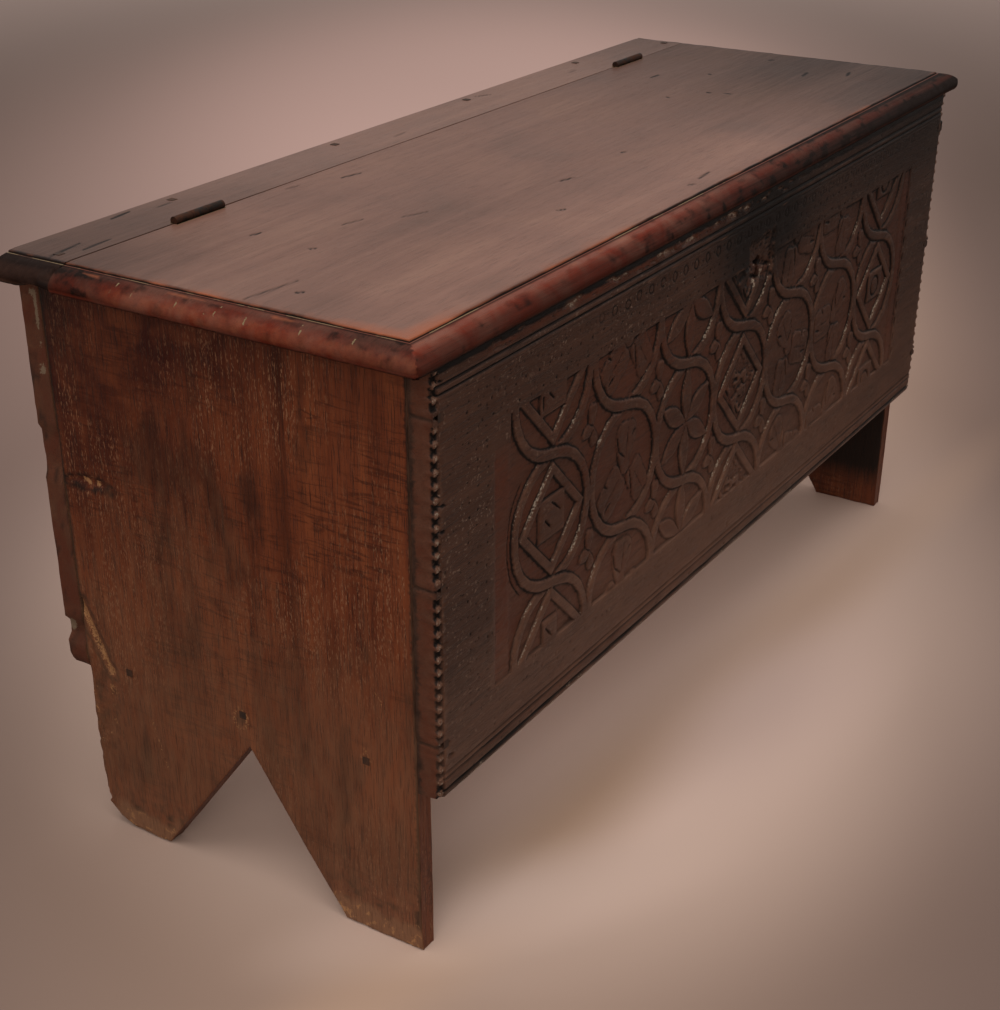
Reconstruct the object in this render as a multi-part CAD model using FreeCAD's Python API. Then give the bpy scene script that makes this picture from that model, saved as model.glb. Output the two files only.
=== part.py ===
import FreeCAD
import Part
import math
import os

# Boarded oak coffer: six planks nailed together, the ends running down to form V-cut feet.
# The front board has a sunk, carved field. The moulded lid turns on two iron butt hinges set
# in the joint between the lid and a narrow fixed board at the rear. Inside are a candle box
# and an iron box lock whose bolt shoots through a staple under the lid.
# X runs along the chest, Y from front to back, Z up from the floor. Millimetres.

Vec = FreeCAD.Vector
ALONG_X, ALONG_Y, ALONG_Z = Vec(1, 0, 0), Vec(0, 1, 0), Vec(0, 0, 1)

# Carcase boards
chest_length = 1200.0        # over the outer faces of the end boards
end_depth = 410.0            # width of each end board, front edge to back edge
end_thick = 21.0
front_thick = 25.0
back_thick = 26.0
carcase_height = 600.0       # floor to the top edges of the boards
board_bottom = 186.0         # floor to the lower edges of the front and back boards
bottom_thick = 19.0
bottom_underside = 191.0     # floor to the underside of the bottom board
dado_depth = 8.0             # housing of the bottom board in each end board

# V cut that turns each end board into two feet
front_foot = 92.0            # length of the front foot on the floor
back_foot = 87.0
notch_height = 165.0
apex_lean = 7.5              # the apex leans this far towards the front from mid-notch

# Lid and the fixed board behind it
lid_thick = 24.0
lid_overhang_end = 30.0      # nose beyond the end boards
lid_overhang_front = 7.0     # nose beyond the front board
strip_width = 71.0           # fixed rear board
lid_seat_gap = 0.3
joint_gap = 1.8              # between the lid and the fixed rear board

# Thumbnail moulding round the lid: a step, a quirk, an oval thumb of two arcs and a round nose
moulding_width = 26.0        # plateau edge to nose
moulding_step = 2.5
quirk_width = 4.0
thumb_end_radius = 9.0       # the tighter arc, next to the nose
nose_round = 7.0             # the arc under the nose

# Run mouldings and sunk field of the front board
top_grooves = (17.0, 25.0)           # below the top edge
bottom_grooves = (5.0, 19.0, 26.0)   # above the lower edge
groove_width = 3.0
groove_sink = 1.6
field_left = 90.0            # plain stile at the left end
field_right = 100.0
field_drop = 77.0            # top edge of the board to the field
field_rise = 74.0            # lower edge of the board to the field
field_sink = 3.0

# Raised straps in the sunk field: a row of rings between two rows of half rings, and a lozenge
# in every third ring and half ring
ring_count = 7
ring_pitch = 135.0
ring_radius = 68.0           # outside
ring_strap = 11.0
lozenge_strap = 9.0
lozenge_lap = 2.0            # its corners run this far into the ring
lozenge_every = 3

# Keyhole and the bed of its plate
keyhole_x = 33.0
keyhole_drop = 78.0          # top edge of the board to the keyhole's round
keyhole_round = 6.0          # radius
keyhole_slot_width = 6.4
keyhole_slot = 20.0          # round's centre to the slot's foot
plate_bed_width = 62.0
plate_bed_height = 52.0
plate_bed_sink = 5.0

# Butt hinges
hinge_inset_left = 173.0     # end board's outer face to the hinge's middle
hinge_inset_right = 160.0
hinge_length = 70.0
knuckle_count = 3
barrel_radius = 4.2
pin_radius = 2.0
pin_fit = 0.05               # radial, in the knuckles
knuckle_gap = 0.3
axis_rise = 2.0              # hinge axis above the lid's top
leaf_thick = 1.6
leaf_gap = 1.0               # between the two leaves
leaf_drop = 23.0             # hinge axis to the leaf's lower edge
leaf_clear = 0.4             # under the barrel, where the other leaf's knuckles turn
barrel_clear = 0.5           # round the barrel in the boards

# Screws of the hinges
screws_per_leaf = 3
screw_pitch = 24.0
screw_length = 16.0
screw_radius = 1.6
screw_head_radius = 3.2
screw_head_depth = 1.5

# Wrought nails: tapered square shanks under flush heads
nail_shank = 3.6
nail_tip = 1.2
nail_head = 8.0
nail_head_depth = 2.5
board_nail_length = 60.0
strip_nail_length = 50.0
lock_nail_length = 17.0
nail_fit = 0.1
nail_top_inset = 43.0        # top edge of a board to its highest nail
nail_bottom_inset = 57.0     # lower edge of a board to its lowest nail
nails_per_end = 3
bottom_nail_inset = 58.0     # edge of an end board to its outer nail into the bottom
back_nail_count = 4
back_nail_inset = 200.0

# Candle box at the left end
till_room = 115.0            # clear width
till_deep = 105.0            # clear depth
till_wall = 9.0
till_rim_drop = 8.0          # below the top edge of the boards
till_groove = 6.0            # housing in the front, back and end boards
till_fit = 0.2

# Box lock behind the keyhole
lock_width = 126.0
lock_height = 102.0
lock_top_drop = 8.0          # below the top edge of the front board
lock_plate_thick = 2.5
lock_depth = 27.0            # plate's back to the outside of the cover
lock_cover_thick = 1.5
lock_nail_inset = 5.5
bolt_height = 12.0
bolt_thick = 6.0
bolt_set_out = 9.5           # plate to bolt
bolt_drop = 22.0             # top edge of the front board to the middle of the bolt
bolt_tail_gap = 1.0          # cover's end wall to the tail of the withdrawn bolt
bolt_travel = 20.0
bolt_leg_width = 20.0
bolt_leg_drop = 34.0         # below the bolt
talon_width = 8.0            # notch that the key turns against
talon_height = 7.0
bolt_fit = 0.3
keeper_wide = 18.0
keeper_narrow = 5.0
keeper_thick = 3.0

# Staple under the lid
staple_set = 30.0            # keyhole to staple, along X
staple_thick = 6.0
staple_bar = 3.0
staple_gap = 1.5             # round the bolt
staple_plate_width = 34.0
staple_plate_depth = 30.0
staple_plate_thick = 2.5
staple_plate_set_in = 2.0    # behind the front board's inner face
staple_nail_pitch = 22.0
staple_tip_gap = 2.0         # tip of the withdrawn bolt to the staple

# Places worked out from the dimensions
half_length = chest_length / 2
inner_half = half_length - end_thick
overall_depth = lid_overhang_front + front_thick + end_depth + back_thick
nose_y = -overall_depth / 2
front_y = nose_y + lid_overhang_front
inner_front_y = front_y + front_thick
inner_back_y = inner_front_y + end_depth
rear_y = inner_back_y + back_thick
joint_y = rear_y - strip_width
bottom_top = bottom_underside + bottom_thick
lid_underside = carcase_height + lid_seat_gap
lid_top = lid_underside + lid_thick
lid_half = half_length + lid_overhang_end
hinge_axis_z = lid_top + axis_rise
hinge_middles = {
    "left": -half_length + hinge_inset_left,
    "right": half_length - hinge_inset_right,
}
field_x = (-half_length + field_left, half_length - field_right)
field_z = (board_bottom + field_rise, carcase_height - field_drop)
keyhole_z = carcase_height - keyhole_drop
till_wall_x = -inner_half + till_room
till_top = carcase_height - till_rim_drop
till_floor_top = till_top - till_deep
till_bottom_z = till_floor_top - till_wall
lock_top = carcase_height - lock_top_drop
lock_bottom = lock_top - lock_height
lock_left = keyhole_x - lock_width / 2
lock_right = keyhole_x + lock_width / 2
lock_face_y = inner_front_y + lock_plate_thick
bolt_y = lock_face_y + bolt_set_out
bolt_z = carcase_height - bolt_drop - bolt_height / 2
staple_x = keyhole_x + staple_set
staple_left = staple_x - staple_thick / 2
bolt_tip = staple_left - staple_tip_gap
cover_x = (lock_left + 2 * lock_nail_inset, lock_right - 2 * lock_nail_inset)
bolt_tail = cover_x[0] + lock_cover_thick + bolt_tail_gap
talon_x = keyhole_x - bolt_travel / 2


def block(x0, x1, y0, y1, z0, z1):
    """Block between two opposite corners."""
    return Part.makeBox(x1 - x0, y1 - y0, z1 - z0, Vec(x0, y0, z0))


def spread(first, last, count):
    """Evenly spaced places from first to last."""
    return [first + (last - first) * i / (count - 1) for i in range(count)]


def prism_x(points, x0, x1):
    """Straight-sided outline of (y, z) points, run along X."""
    corners = [Vec(x0, y, z) for y, z in points]
    return Part.Face(Part.makePolygon(corners + corners[:1])).extrude(ALONG_X * (x1 - x0))


def cylinder_x(radius, x0, x1, y, z):
    """Round bar along X."""
    return Part.makeCylinder(radius, x1 - x0, Vec(x0, y, z), ALONG_X)


def taper(half, end_half, length):
    """Square bar from the origin along +Y, tapering from half to end_half its width."""
    return Part.makeWedge(-half, 0, -half, -end_half, -end_half, half, length, half, end_half, end_half)


def nail(length, grow=0.0):
    """Wrought nail from a flush square head at the origin along +Y, or its hole when grown."""
    half = nail_shank / 2 + grow
    shank = taper(half, nail_tip / 2 + grow, length + grow)
    head = taper(nail_head / 2 + grow, half, nail_head_depth)
    return shank.fuse(head).removeSplitter()


def octagon(radius, y):
    """Eight-sided outline across Y."""
    turns = [math.pi / 4 * i for i in range(9)]
    return Part.makePolygon([Vec(radius * math.cos(a), y, radius * math.sin(a)) for a in turns])


def screw(length, grow=0.0):
    """Countersunk screw, drawn eight-sided, from the origin along +Y, or its hole when grown."""
    shank = Part.Face(octagon(screw_radius + grow, 0)).extrude(ALONG_Y * (length + grow))
    outlines = [octagon(screw_head_radius + grow, 0), octagon(screw_radius + grow, screw_head_depth)]
    return shank.fuse(Part.makeLoft(outlines, True, True)).removeSplitter()


def placed(shape, point, direction):
    """Shape made along +Y, moved to point and turned to direction."""
    copy = shape.copy()
    copy.Placement = FreeCAD.Placement(point, FreeCAD.Rotation(ALONG_Y, direction))
    return copy


def fasteners(make, length, places, direction):
    """Fasteners at the places as one group of solids, with the matching holes."""
    shapes = [placed(make(length), point, direction) for point in places]
    holes = [placed(make(length, nail_fit), point, direction) for point in places]
    return shapes, holes


def cut_all(shape, tools):
    """Shape less every tool."""
    return shape.cut(Part.makeCompound(tools)).removeSplitter()


def arc(centre, radius, start, end):
    """Round stretch in the XY plane between two angles in quarter turns."""
    circle = Part.Circle(Vec(*centre, 0), ALONG_Z, radius)
    return Part.ArcOfCircle(circle, start * math.pi / 2, end * math.pi / 2).toShape()


def moulded_edge(nose, inward):
    """Edges of the lid's moulding in the XY plane, from its plateau to its underside."""
    thumb_width = moulding_width - quirk_width
    quirk_y = lid_thick - moulding_step
    rise = quirk_y - nose_round
    end = thumb_end_radius
    reach = thumb_width - end
    # The wide arc is level at the quirk and meets the tighter one on the line of their centres.
    wide = (reach ** 2 + rise ** 2 - end ** 2) / (2 * (rise - end))
    meet = math.atan2(wide - rise, reach) / (math.pi / 2)
    step_x = nose + inward * moulding_width
    thumb_x = nose + inward * thumb_width
    end_x = nose + inward * end
    under_x = nose + inward * nose_round
    wide_centre = (thumb_x, quirk_y - wide)
    if inward > 0:
        spans = ((1, 2 - meet), (2 - meet, 2), (2, 3))
    else:
        spans = ((meet, 1), (0, meet), (3, 4))
    return [
        Part.makeLine(Vec(step_x, lid_thick, 0), Vec(step_x, quirk_y, 0)),
        Part.makeLine(Vec(step_x, quirk_y, 0), Vec(thumb_x, quirk_y, 0)),
        arc(wide_centre, wide, *spans[0]),
        arc((end_x, nose_round), end, *spans[1]),
        arc((under_x, nose_round), nose_round, *spans[2]),
    ]


def lid_along_x(end_y):
    """Lid section with its moulded front edge, run along X to the full length."""
    depth = end_y - nose_y
    under = Vec(nose_round, 0, 0)
    edges = moulded_edge(0, 1) + [
        Part.makeLine(under, Vec(depth, 0, 0)),
        Part.makeLine(Vec(depth, 0, 0), Vec(depth, lid_thick, 0)),
        Part.makeLine(Vec(depth, lid_thick, 0), Vec(moulding_width, lid_thick, 0)),
    ]
    face = Part.Face(Part.Wire(Part.__sortEdges__(edges)))
    solid = face.extrude(ALONG_Z * 2 * lid_half)
    turn = FreeCAD.Rotation(ALONG_Y, ALONG_Z, ALONG_X, "XYZ")
    solid.Placement = FreeCAD.Placement(Vec(-lid_half, nose_y, lid_underside), turn)
    return solid


def lid_along_y(start_y, end_y, drop):
    """Section with moulded ends, run along Y, and carried down by drop at its underside."""
    under = lid_half - nose_round
    plateau = lid_half - moulding_width
    edges = moulded_edge(-lid_half, 1) + moulded_edge(lid_half, -1)
    edges.append(Part.makeLine(Vec(-plateau, lid_thick, 0), Vec(plateau, lid_thick, 0)))
    edges.append(Part.makeLine(Vec(-under, 0, 0), Vec(under, 0, 0)))
    face = Part.Face(Part.Wire(Part.__sortEdges__(edges)))
    solid = face.extrude(ALONG_Z * (end_y - start_y))
    turn = FreeCAD.Rotation(ALONG_X, 90)
    solid.Placement = FreeCAD.Placement(Vec(0, end_y, lid_underside), turn)
    if drop > 0:
        seat = block(-under, under, start_y, end_y, lid_underside - drop, lid_underside)
        solid = solid.fuse(seat).removeSplitter()
    return solid


def dado_for_bottom(side):
    """Housing of the bottom board in the inner face of an end board."""
    face = side * inner_half
    floor = side * (inner_half + dado_depth)
    return block(
        min(face, floor), max(face, floor), inner_front_y, inner_back_y, bottom_underside, bottom_top
    )


def notch(side):
    """V cut between the feet of an end board."""
    front_corner = inner_front_y + front_foot
    back_corner = inner_back_y - back_foot
    apex = (front_corner + back_corner) / 2 - apex_lean
    points = [(front_corner, 0), (apex, notch_height), (back_corner, 0)]
    inner = side * inner_half
    outer = side * half_length
    return prism_x(points, min(inner, outer), max(inner, outer))


def groove(z):
    """V groove of the run mouldings, along the face of the front board."""
    half = groove_width / 2
    points = [(front_y, z - half), (front_y + groove_sink, z), (front_y, z + half)]
    return prism_x(points, -half_length, half_length)


def disc(x, z, radius):
    """Flat disc on the face of the front board."""
    return Part.Face(Part.Wire(Part.makeCircle(radius, Vec(x, front_y, z), ALONG_Y)))


def diamond(x, z, reach):
    """Flat square standing on its corner, on the face of the front board."""
    corners = [(reach, 0), (0, reach), (-reach, 0), (0, -reach), (reach, 0)]
    return Part.Face(Part.makePolygon([Vec(x + dx, front_y, z + dz) for dx, dz in corners]))


def field_ground():
    """What is cut away round the straps of the sunk field."""
    x0, x1 = field_x
    z0, z1 = field_z
    corners = [(x0, z0), (x1, z0), (x1, z1), (x0, z1), (x0, z0)]
    field = Part.Face(Part.makePolygon([Vec(x, front_y, z) for x, z in corners]))
    middle = (x0 + x1) / 2
    inside = ring_radius - ring_strap
    straps = []
    for column in range(ring_count):
        x = middle + (column - (ring_count - 1) / 2) * ring_pitch
        for z in spread(z0, z1, 3):
            straps.append(disc(x, z, ring_radius).cut(disc(x, z, inside)))
            if column % lozenge_every == 0:
                outer = inside + lozenge_lap
                inner = outer - lozenge_strap * math.sqrt(2)
                straps.append(diamond(x, z, outer).cut(diamond(x, z, inner)))
    return field.cut(straps).extrude(ALONG_Y * field_sink)


def keyhole(y0, y1):
    """Round and slot of the keyhole, from y0 to y1."""
    hole = Part.makeCylinder(keyhole_round, y1 - y0, Vec(keyhole_x, y0, keyhole_z), ALONG_Y)
    half = keyhole_slot_width / 2
    slot = block(keyhole_x - half, keyhole_x + half, y0, y1, keyhole_z - keyhole_slot, keyhole_z)
    return hole.fuse(slot).removeSplitter()


def till_boards(grow=0.0):
    """Wall and floor of the candle box, or their housings when grown."""
    y0 = inner_front_y - till_groove - grow
    y1 = inner_back_y + till_groove + grow
    wall = block(till_wall_x - grow, till_wall_x + till_wall + grow, y0, y1, till_bottom_z - grow, till_top)
    floor_end = -inner_half - till_groove - grow
    floor = block(floor_end, till_wall_x, y0, y1, till_bottom_z - grow, till_floor_top + grow)
    return wall, floor


def nail_heights():
    """Heights of the nails through the front and back boards into the ends."""
    return spread(board_bottom + nail_bottom_inset, carcase_height - nail_top_inset, nails_per_end)


def board_nails(y, direction):
    """Nails through the front or back board into the edges of both end boards."""
    x = half_length - end_thick / 2
    places = [Vec(side * x, y, z) for side in (-1, 1) for z in nail_heights()]
    return fasteners(nail, board_nail_length, places, direction)


def bottom_nails_in_end(side):
    """Nails through an end board into the end of the bottom board."""
    z = bottom_underside + bottom_thick / 2
    first = inner_front_y + bottom_nail_inset
    last = inner_back_y - bottom_nail_inset
    places = [Vec(side * half_length, y, z) for y in spread(first, last, nails_per_end)]
    return fasteners(nail, board_nail_length, places, ALONG_X * -side)


def bottom_nails_in_back():
    """Nails through the back board into the rear edge of the bottom board."""
    z = bottom_underside + bottom_thick / 2
    last = half_length - back_nail_inset
    places = [Vec(x, rear_y, z) for x in spread(-last, last, back_nail_count)]
    return fasteners(nail, board_nail_length, places, -ALONG_Y)


def strip_nails():
    """Nails down through the fixed rear board into the ends and the back board."""
    end_x = half_length - end_thick / 2
    end_y = (joint_y + inner_back_y) / 2
    back_x = half_length - back_nail_inset
    places = [Vec(side * end_x, end_y, lid_top) for side in (-1, 1)]
    places += [
        Vec(x, inner_back_y + back_thick / 2, lid_top)
        for x in spread(-back_x, back_x, back_nail_count)
    ]
    return fasteners(nail, strip_nail_length, places, -ALONG_Z)


def lock_nails():
    """Nails through the lock plate's corners into the front board."""
    places = [
        Vec(x, lock_face_y, z)
        for x in (lock_left + lock_nail_inset, lock_right - lock_nail_inset)
        for z in (lock_bottom + lock_nail_inset, lock_top - lock_nail_inset)
    ]
    return fasteners(nail, lock_nail_length, places, -ALONG_Y)


def staple_nails():
    """Nails up through the staple's plate into the lid."""
    half = staple_nail_pitch / 2
    y = inner_front_y + staple_plate_set_in + staple_plate_depth / 2
    places = [Vec(staple_x + offset, y, lid_underside - staple_plate_thick) for offset in (-half, half)]
    return fasteners(nail, lock_nail_length, places, ALONG_Z)


def hinge_screws(middle, side):
    """Screws through a hinge leaf: side -1 into the lid, +1 into the rear board."""
    y = joint_y + side * leaf_gap / 2
    leaf_top = hinge_axis_z - barrel_radius - leaf_clear
    z = (hinge_axis_z - leaf_drop + leaf_top) / 2
    reach = screw_pitch * (screws_per_leaf - 1) / 2
    places = [Vec(x, y, z) for x in spread(middle - reach, middle + reach, screws_per_leaf)]
    return fasteners(screw, screw_length, places, ALONG_Y * side)


def knuckle_spans(middle, side):
    """Stretches of the barrel that belong to a leaf: side +1 has the outer knuckles."""
    pitch = hinge_length / knuckle_count
    spans = []
    for i in range(knuckle_count):
        outer_set = i % 2 == 0
        if outer_set == (side > 0):
            start = middle - hinge_length / 2 + i * pitch
            spans.append((start + knuckle_gap / 2, start + pitch - knuckle_gap / 2))
    return spans


def leaf_plate(middle, side):
    """Flat plate of a hinge leaf, without its knuckles and holes."""
    near = joint_y + side * leaf_gap / 2
    far = near + side * leaf_thick
    x0, x1 = middle - hinge_length / 2, middle + hinge_length / 2
    top = hinge_axis_z - barrel_radius - leaf_clear
    return block(x0, x1, min(near, far), max(near, far), hinge_axis_z - leaf_drop, top)


def hinge_leaf(middle, side, holes):
    """Leaf with its knuckles rolled round the pin."""
    near = joint_y + side * leaf_gap / 2
    far = near + side * leaf_thick
    neck_foot = hinge_axis_z - barrel_radius - leaf_clear
    leaf = leaf_plate(middle, side)
    for x0, x1 in knuckle_spans(middle, side):
        neck = block(x0, x1, min(near, far), max(near, far), neck_foot, hinge_axis_z - leaf_thick)
        leaf = leaf.fuse([neck, cylinder_x(barrel_radius, x0, x1, joint_y, hinge_axis_z)])
    bore = cylinder_x(
        pin_radius + pin_fit, middle - hinge_length, middle + hinge_length, joint_y, hinge_axis_z
    )
    return cut_all(leaf, [bore] + holes)


def hinge_pin(middle):
    """Pin through all the knuckles, flush with their ends."""
    half = hinge_length / 2 - knuckle_gap / 2
    return cylinder_x(pin_radius, middle - half, middle + half, joint_y, hinge_axis_z)


def hinge_recess(middle, side):
    """Room for a hinge in the edge of a board: its leaf let in flush and its barrel clear."""
    end = hinge_length / 2 + barrel_clear
    reach = barrel_radius + barrel_clear
    barrel = block(
        middle - end, middle + end, joint_y - reach, joint_y + reach, hinge_axis_z - reach, hinge_axis_z
    )
    box = leaf_plate(middle, side).BoundBox
    slot = block(box.XMin, box.XMax, box.YMin, box.YMax, box.ZMin, hinge_axis_z)
    return barrel.fuse(slot)


def make_lock():
    """Plate, cover, bolt keepers, bolt and nails of the box lock."""
    nails, nail_holes = lock_nails()
    plate = block(lock_left, lock_right, inner_front_y, lock_face_y, lock_bottom, lock_top)
    plate = cut_all(plate, [keyhole(inner_front_y, lock_face_y)] + nail_holes)

    cover_z = (lock_bottom, lock_top)
    back = inner_front_y + lock_depth
    cover = block(*cover_x, lock_face_y, back, *cover_z)
    wall = lock_cover_thick
    room = block(
        cover_x[0] + wall, cover_x[1] - wall, lock_face_y, back - wall, cover_z[0] + wall, cover_z[1] - wall
    )
    mouth = block(
        staple_left - staple_gap, staple_left + staple_thick + staple_gap,
        lock_face_y, back - wall, cover_z[1] - wall, cover_z[1],
    )
    cover = cut_all(cover, [room, mouth])

    z0, z1 = bolt_z - bolt_height / 2, bolt_z + bolt_height / 2
    leg_x = (talon_x - bolt_leg_width / 2, talon_x + bolt_leg_width / 2)
    bar = block(bolt_tail, bolt_tip, bolt_y, bolt_y + bolt_thick, z0, z1)
    leg = block(*leg_x, bolt_y, bolt_y + bolt_thick, z0 - bolt_leg_drop, z0)
    talon = block(
        talon_x - talon_width / 2, talon_x + talon_width / 2, bolt_y, bolt_y + bolt_thick,
        z0 - bolt_leg_drop, z0 - bolt_leg_drop + talon_height,
    )
    bolt = bar.fuse(leg).cut(talon).removeSplitter()

    passage = block(
        cover_x[0], cover_x[1], bolt_y - bolt_fit, bolt_y + bolt_thick + bolt_fit,
        z0 - bolt_fit, z1 + bolt_fit,
    )
    rest_keeper_end = leg_x[0] - keeper_thick
    far_keeper = staple_left + staple_thick + keeper_thick
    keepers = []
    for x0, x1 in (
        (rest_keeper_end - keeper_wide, rest_keeper_end),
        (far_keeper, far_keeper + keeper_narrow),
    ):
        strap = block(
            x0, x1, lock_face_y, bolt_y + bolt_thick + bolt_fit + keeper_thick,
            z0 - bolt_fit - keeper_thick, z1 + bolt_fit + keeper_thick,
        )
        keepers.append(strap.cut(passage))
    return plate, cover, keepers, bolt, nails, nail_holes


def make_staple(holes):
    """Staple: a plate under the lid with a loop that the bolt shoots through."""
    y0 = inner_front_y + staple_plate_set_in
    plate = block(
        staple_x - staple_plate_width / 2, staple_x + staple_plate_width / 2,
        y0, y0 + staple_plate_depth, lid_underside - staple_plate_thick, lid_underside,
    )
    reach = staple_gap + staple_bar
    low = bolt_z - bolt_height / 2
    x0, x1 = staple_left, staple_left + staple_thick
    loop = block(
        x0, x1, bolt_y - reach, bolt_y + bolt_thick + reach, low - reach, lid_underside - staple_plate_thick
    )
    eye = block(
        x0, x1, bolt_y - staple_gap, bolt_y + bolt_thick + staple_gap,
        low - staple_gap, lid_underside - staple_plate_thick,
    )
    return cut_all(plate.fuse(loop.cut(eye)), holes)


def make_front(nail_holes):
    """Front board: run mouldings, sunk field, keyhole with its plate's bed, till housings."""
    board = block(-half_length, half_length, front_y, inner_front_y, board_bottom, carcase_height)
    cuts = [groove(carcase_height - drop) for drop in top_grooves]
    cuts += [groove(board_bottom + rise) for rise in bottom_grooves]
    cuts.append(field_ground())
    bed_x = keyhole_x - plate_bed_width / 2
    bed_z = keyhole_z - plate_bed_height / 2
    cuts.append(
        block(bed_x, bed_x + plate_bed_width, front_y, front_y + plate_bed_sink,
              bed_z, bed_z + plate_bed_height)
    )
    cuts.append(keyhole(front_y, inner_front_y))
    cuts += till_boards(till_fit)
    return cut_all(board, cuts + nail_holes)


def make_parts():
    """Every node of the chest, by name: one solid or a list of solids."""
    parts = {}
    front_nails, front_holes = board_nails(front_y, ALONG_Y)
    back_nails, back_holes = board_nails(rear_y, -ALONG_Y)
    low_back_nails, low_back_holes = bottom_nails_in_back()
    rear_nails, rear_holes = strip_nails()
    plate, cover, keepers, bolt, plate_nails, plate_holes = make_lock()

    parts["front_board"] = make_front(front_holes + plate_holes)
    back = block(-half_length, half_length, inner_back_y, rear_y, board_bottom, carcase_height)
    parts["back_board"] = cut_all(
        back, back_holes + low_back_holes + rear_holes + list(till_boards(till_fit))
    )
    bottom_half = inner_half + dado_depth
    bottom = block(
        -bottom_half, bottom_half, inner_front_y, inner_back_y, bottom_underside, bottom_top
    )
    bottom_holes = list(low_back_holes)
    end_nails = {}
    for name, side in (("left", -1), ("right", 1)):
        end_nails[name], end_holes = bottom_nails_in_end(side)
        bottom_holes += end_holes
        inner, outer = side * inner_half, side * half_length
        end = block(min(inner, outer), max(inner, outer), inner_front_y, inner_back_y, 0, carcase_height)
        cuts = [dado_for_bottom(side), notch(side)]
        cuts += end_holes + front_holes + back_holes + rear_holes + list(till_boards(till_fit))
        parts[name + "_end_board"] = cut_all(end, cuts)
    parts["bottom_board"] = cut_all(bottom, bottom_holes)

    lid = lid_along_x(joint_y - joint_gap / 2).common(
        lid_along_y(nose_y, joint_y - joint_gap / 2, 0)
    )
    strip = lid_along_y(joint_y + joint_gap / 2, rear_y, lid_seat_gap)
    lid_cuts = []
    strip_cuts = list(rear_holes)
    lid_screws = []
    strip_screws = []
    for name, middle in hinge_middles.items():
        screws, holes = hinge_screws(middle, -1)
        parts[name + "_hinge_lid_leaf"] = hinge_leaf(middle, -1, holes)
        lid_screws += screws
        lid_cuts += holes + [hinge_recess(middle, -1)]
        screws, holes = hinge_screws(middle, 1)
        parts[name + "_hinge_fixed_leaf"] = hinge_leaf(middle, 1, holes)
        strip_screws += screws
        strip_cuts += holes + [hinge_recess(middle, 1)]
        parts[name + "_hinge_pin"] = hinge_pin(middle)
    loop_nails, loop_holes = staple_nails()
    parts["lid_board"] = cut_all(lid, lid_cuts + loop_holes)
    parts["rear_lid_board"] = cut_all(strip, strip_cuts)
    parts["lid_staple"] = make_staple(loop_holes)

    parts["till_wall"], parts["till_floor"] = till_boards()
    parts["lock_plate"] = plate
    parts["lock_cover"] = cover
    parts["lock_bolt_keepers"] = keepers
    parts["lock_bolt"] = bolt
    parts["lid_hinge_screws"] = lid_screws
    parts["fixed_hinge_screws"] = strip_screws
    parts["front_board_nails"] = front_nails
    parts["back_board_nails"] = back_nails + low_back_nails
    parts["left_end_nails"] = end_nails["left"]
    parts["right_end_nails"] = end_nails["right"]
    parts["rear_lid_nails"] = rear_nails
    parts["lock_plate_nails"] = plate_nails
    parts["lid_staple_nails"] = loop_nails
    return parts


os.makedirs("parts", exist_ok=True)
for node, shape in make_parts().items():
    if isinstance(shape, list):
        shape = Part.makeCompound(shape)
    shape.exportStep("parts/" + node + ".step")
    print(node, len(shape.Solids), "solids", shape.isValid(), round(shape.Volume))
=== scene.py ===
"""A boarded oak coffer: a carved front, a moulded lid on two butt hinges, and V-cut board feet.

Lengths of the chest are millimetres in the part's own frame until a mesh is made. The floor, the
lights and the camera are in metres.
"""

import math

import bpy
import numpy as np
from mathutils import Matrix, Vector
from mathutils.geometry import delaunay_2d_cdt


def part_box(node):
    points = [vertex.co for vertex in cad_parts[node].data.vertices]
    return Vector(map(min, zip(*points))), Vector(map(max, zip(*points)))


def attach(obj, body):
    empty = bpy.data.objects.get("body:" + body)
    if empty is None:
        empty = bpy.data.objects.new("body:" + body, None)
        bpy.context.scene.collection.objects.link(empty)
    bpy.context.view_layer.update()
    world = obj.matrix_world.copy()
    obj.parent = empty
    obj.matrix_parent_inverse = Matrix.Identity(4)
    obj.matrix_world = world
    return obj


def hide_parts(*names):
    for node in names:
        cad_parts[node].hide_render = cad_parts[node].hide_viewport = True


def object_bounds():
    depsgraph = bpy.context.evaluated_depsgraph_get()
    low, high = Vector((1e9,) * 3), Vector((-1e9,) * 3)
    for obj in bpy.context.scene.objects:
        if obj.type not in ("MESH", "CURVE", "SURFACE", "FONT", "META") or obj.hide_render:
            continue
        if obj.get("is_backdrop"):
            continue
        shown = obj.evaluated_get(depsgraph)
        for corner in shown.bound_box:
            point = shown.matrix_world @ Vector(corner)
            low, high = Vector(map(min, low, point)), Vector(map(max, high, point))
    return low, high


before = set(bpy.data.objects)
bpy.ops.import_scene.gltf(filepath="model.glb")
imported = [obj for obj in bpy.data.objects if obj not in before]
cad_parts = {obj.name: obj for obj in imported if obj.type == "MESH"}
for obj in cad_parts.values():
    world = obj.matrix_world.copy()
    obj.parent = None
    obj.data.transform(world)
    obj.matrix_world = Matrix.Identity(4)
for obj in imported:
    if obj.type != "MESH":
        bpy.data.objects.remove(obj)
cad_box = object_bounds()
MM = 0.001


# ---------------------------------------------------------------- numbers and noise


def node_box(name):
    """Lowest and highest corner of a CAD node, in millimetres."""
    low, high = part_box(name)
    return np.array(low) / MM, np.array(high) / MM


def smooth(start, end, x):
    """0 at start, 1 at end, with level ends. The two may come in either order."""
    t = np.clip((x - start) / (end - start), 0, 1)
    return t * t * (3 - 2 * t)


def lattice(ix, iy, seed):
    h = (ix * 374761393 + iy * 668265263 + seed * 974634777) & 0xFFFFFFFF
    h = ((h ^ (h >> 13)) * 1274126177) & 0xFFFFFFFF
    return ((h ^ (h >> 16)) & 0xFFFF) / 32767.5 - 1


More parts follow.
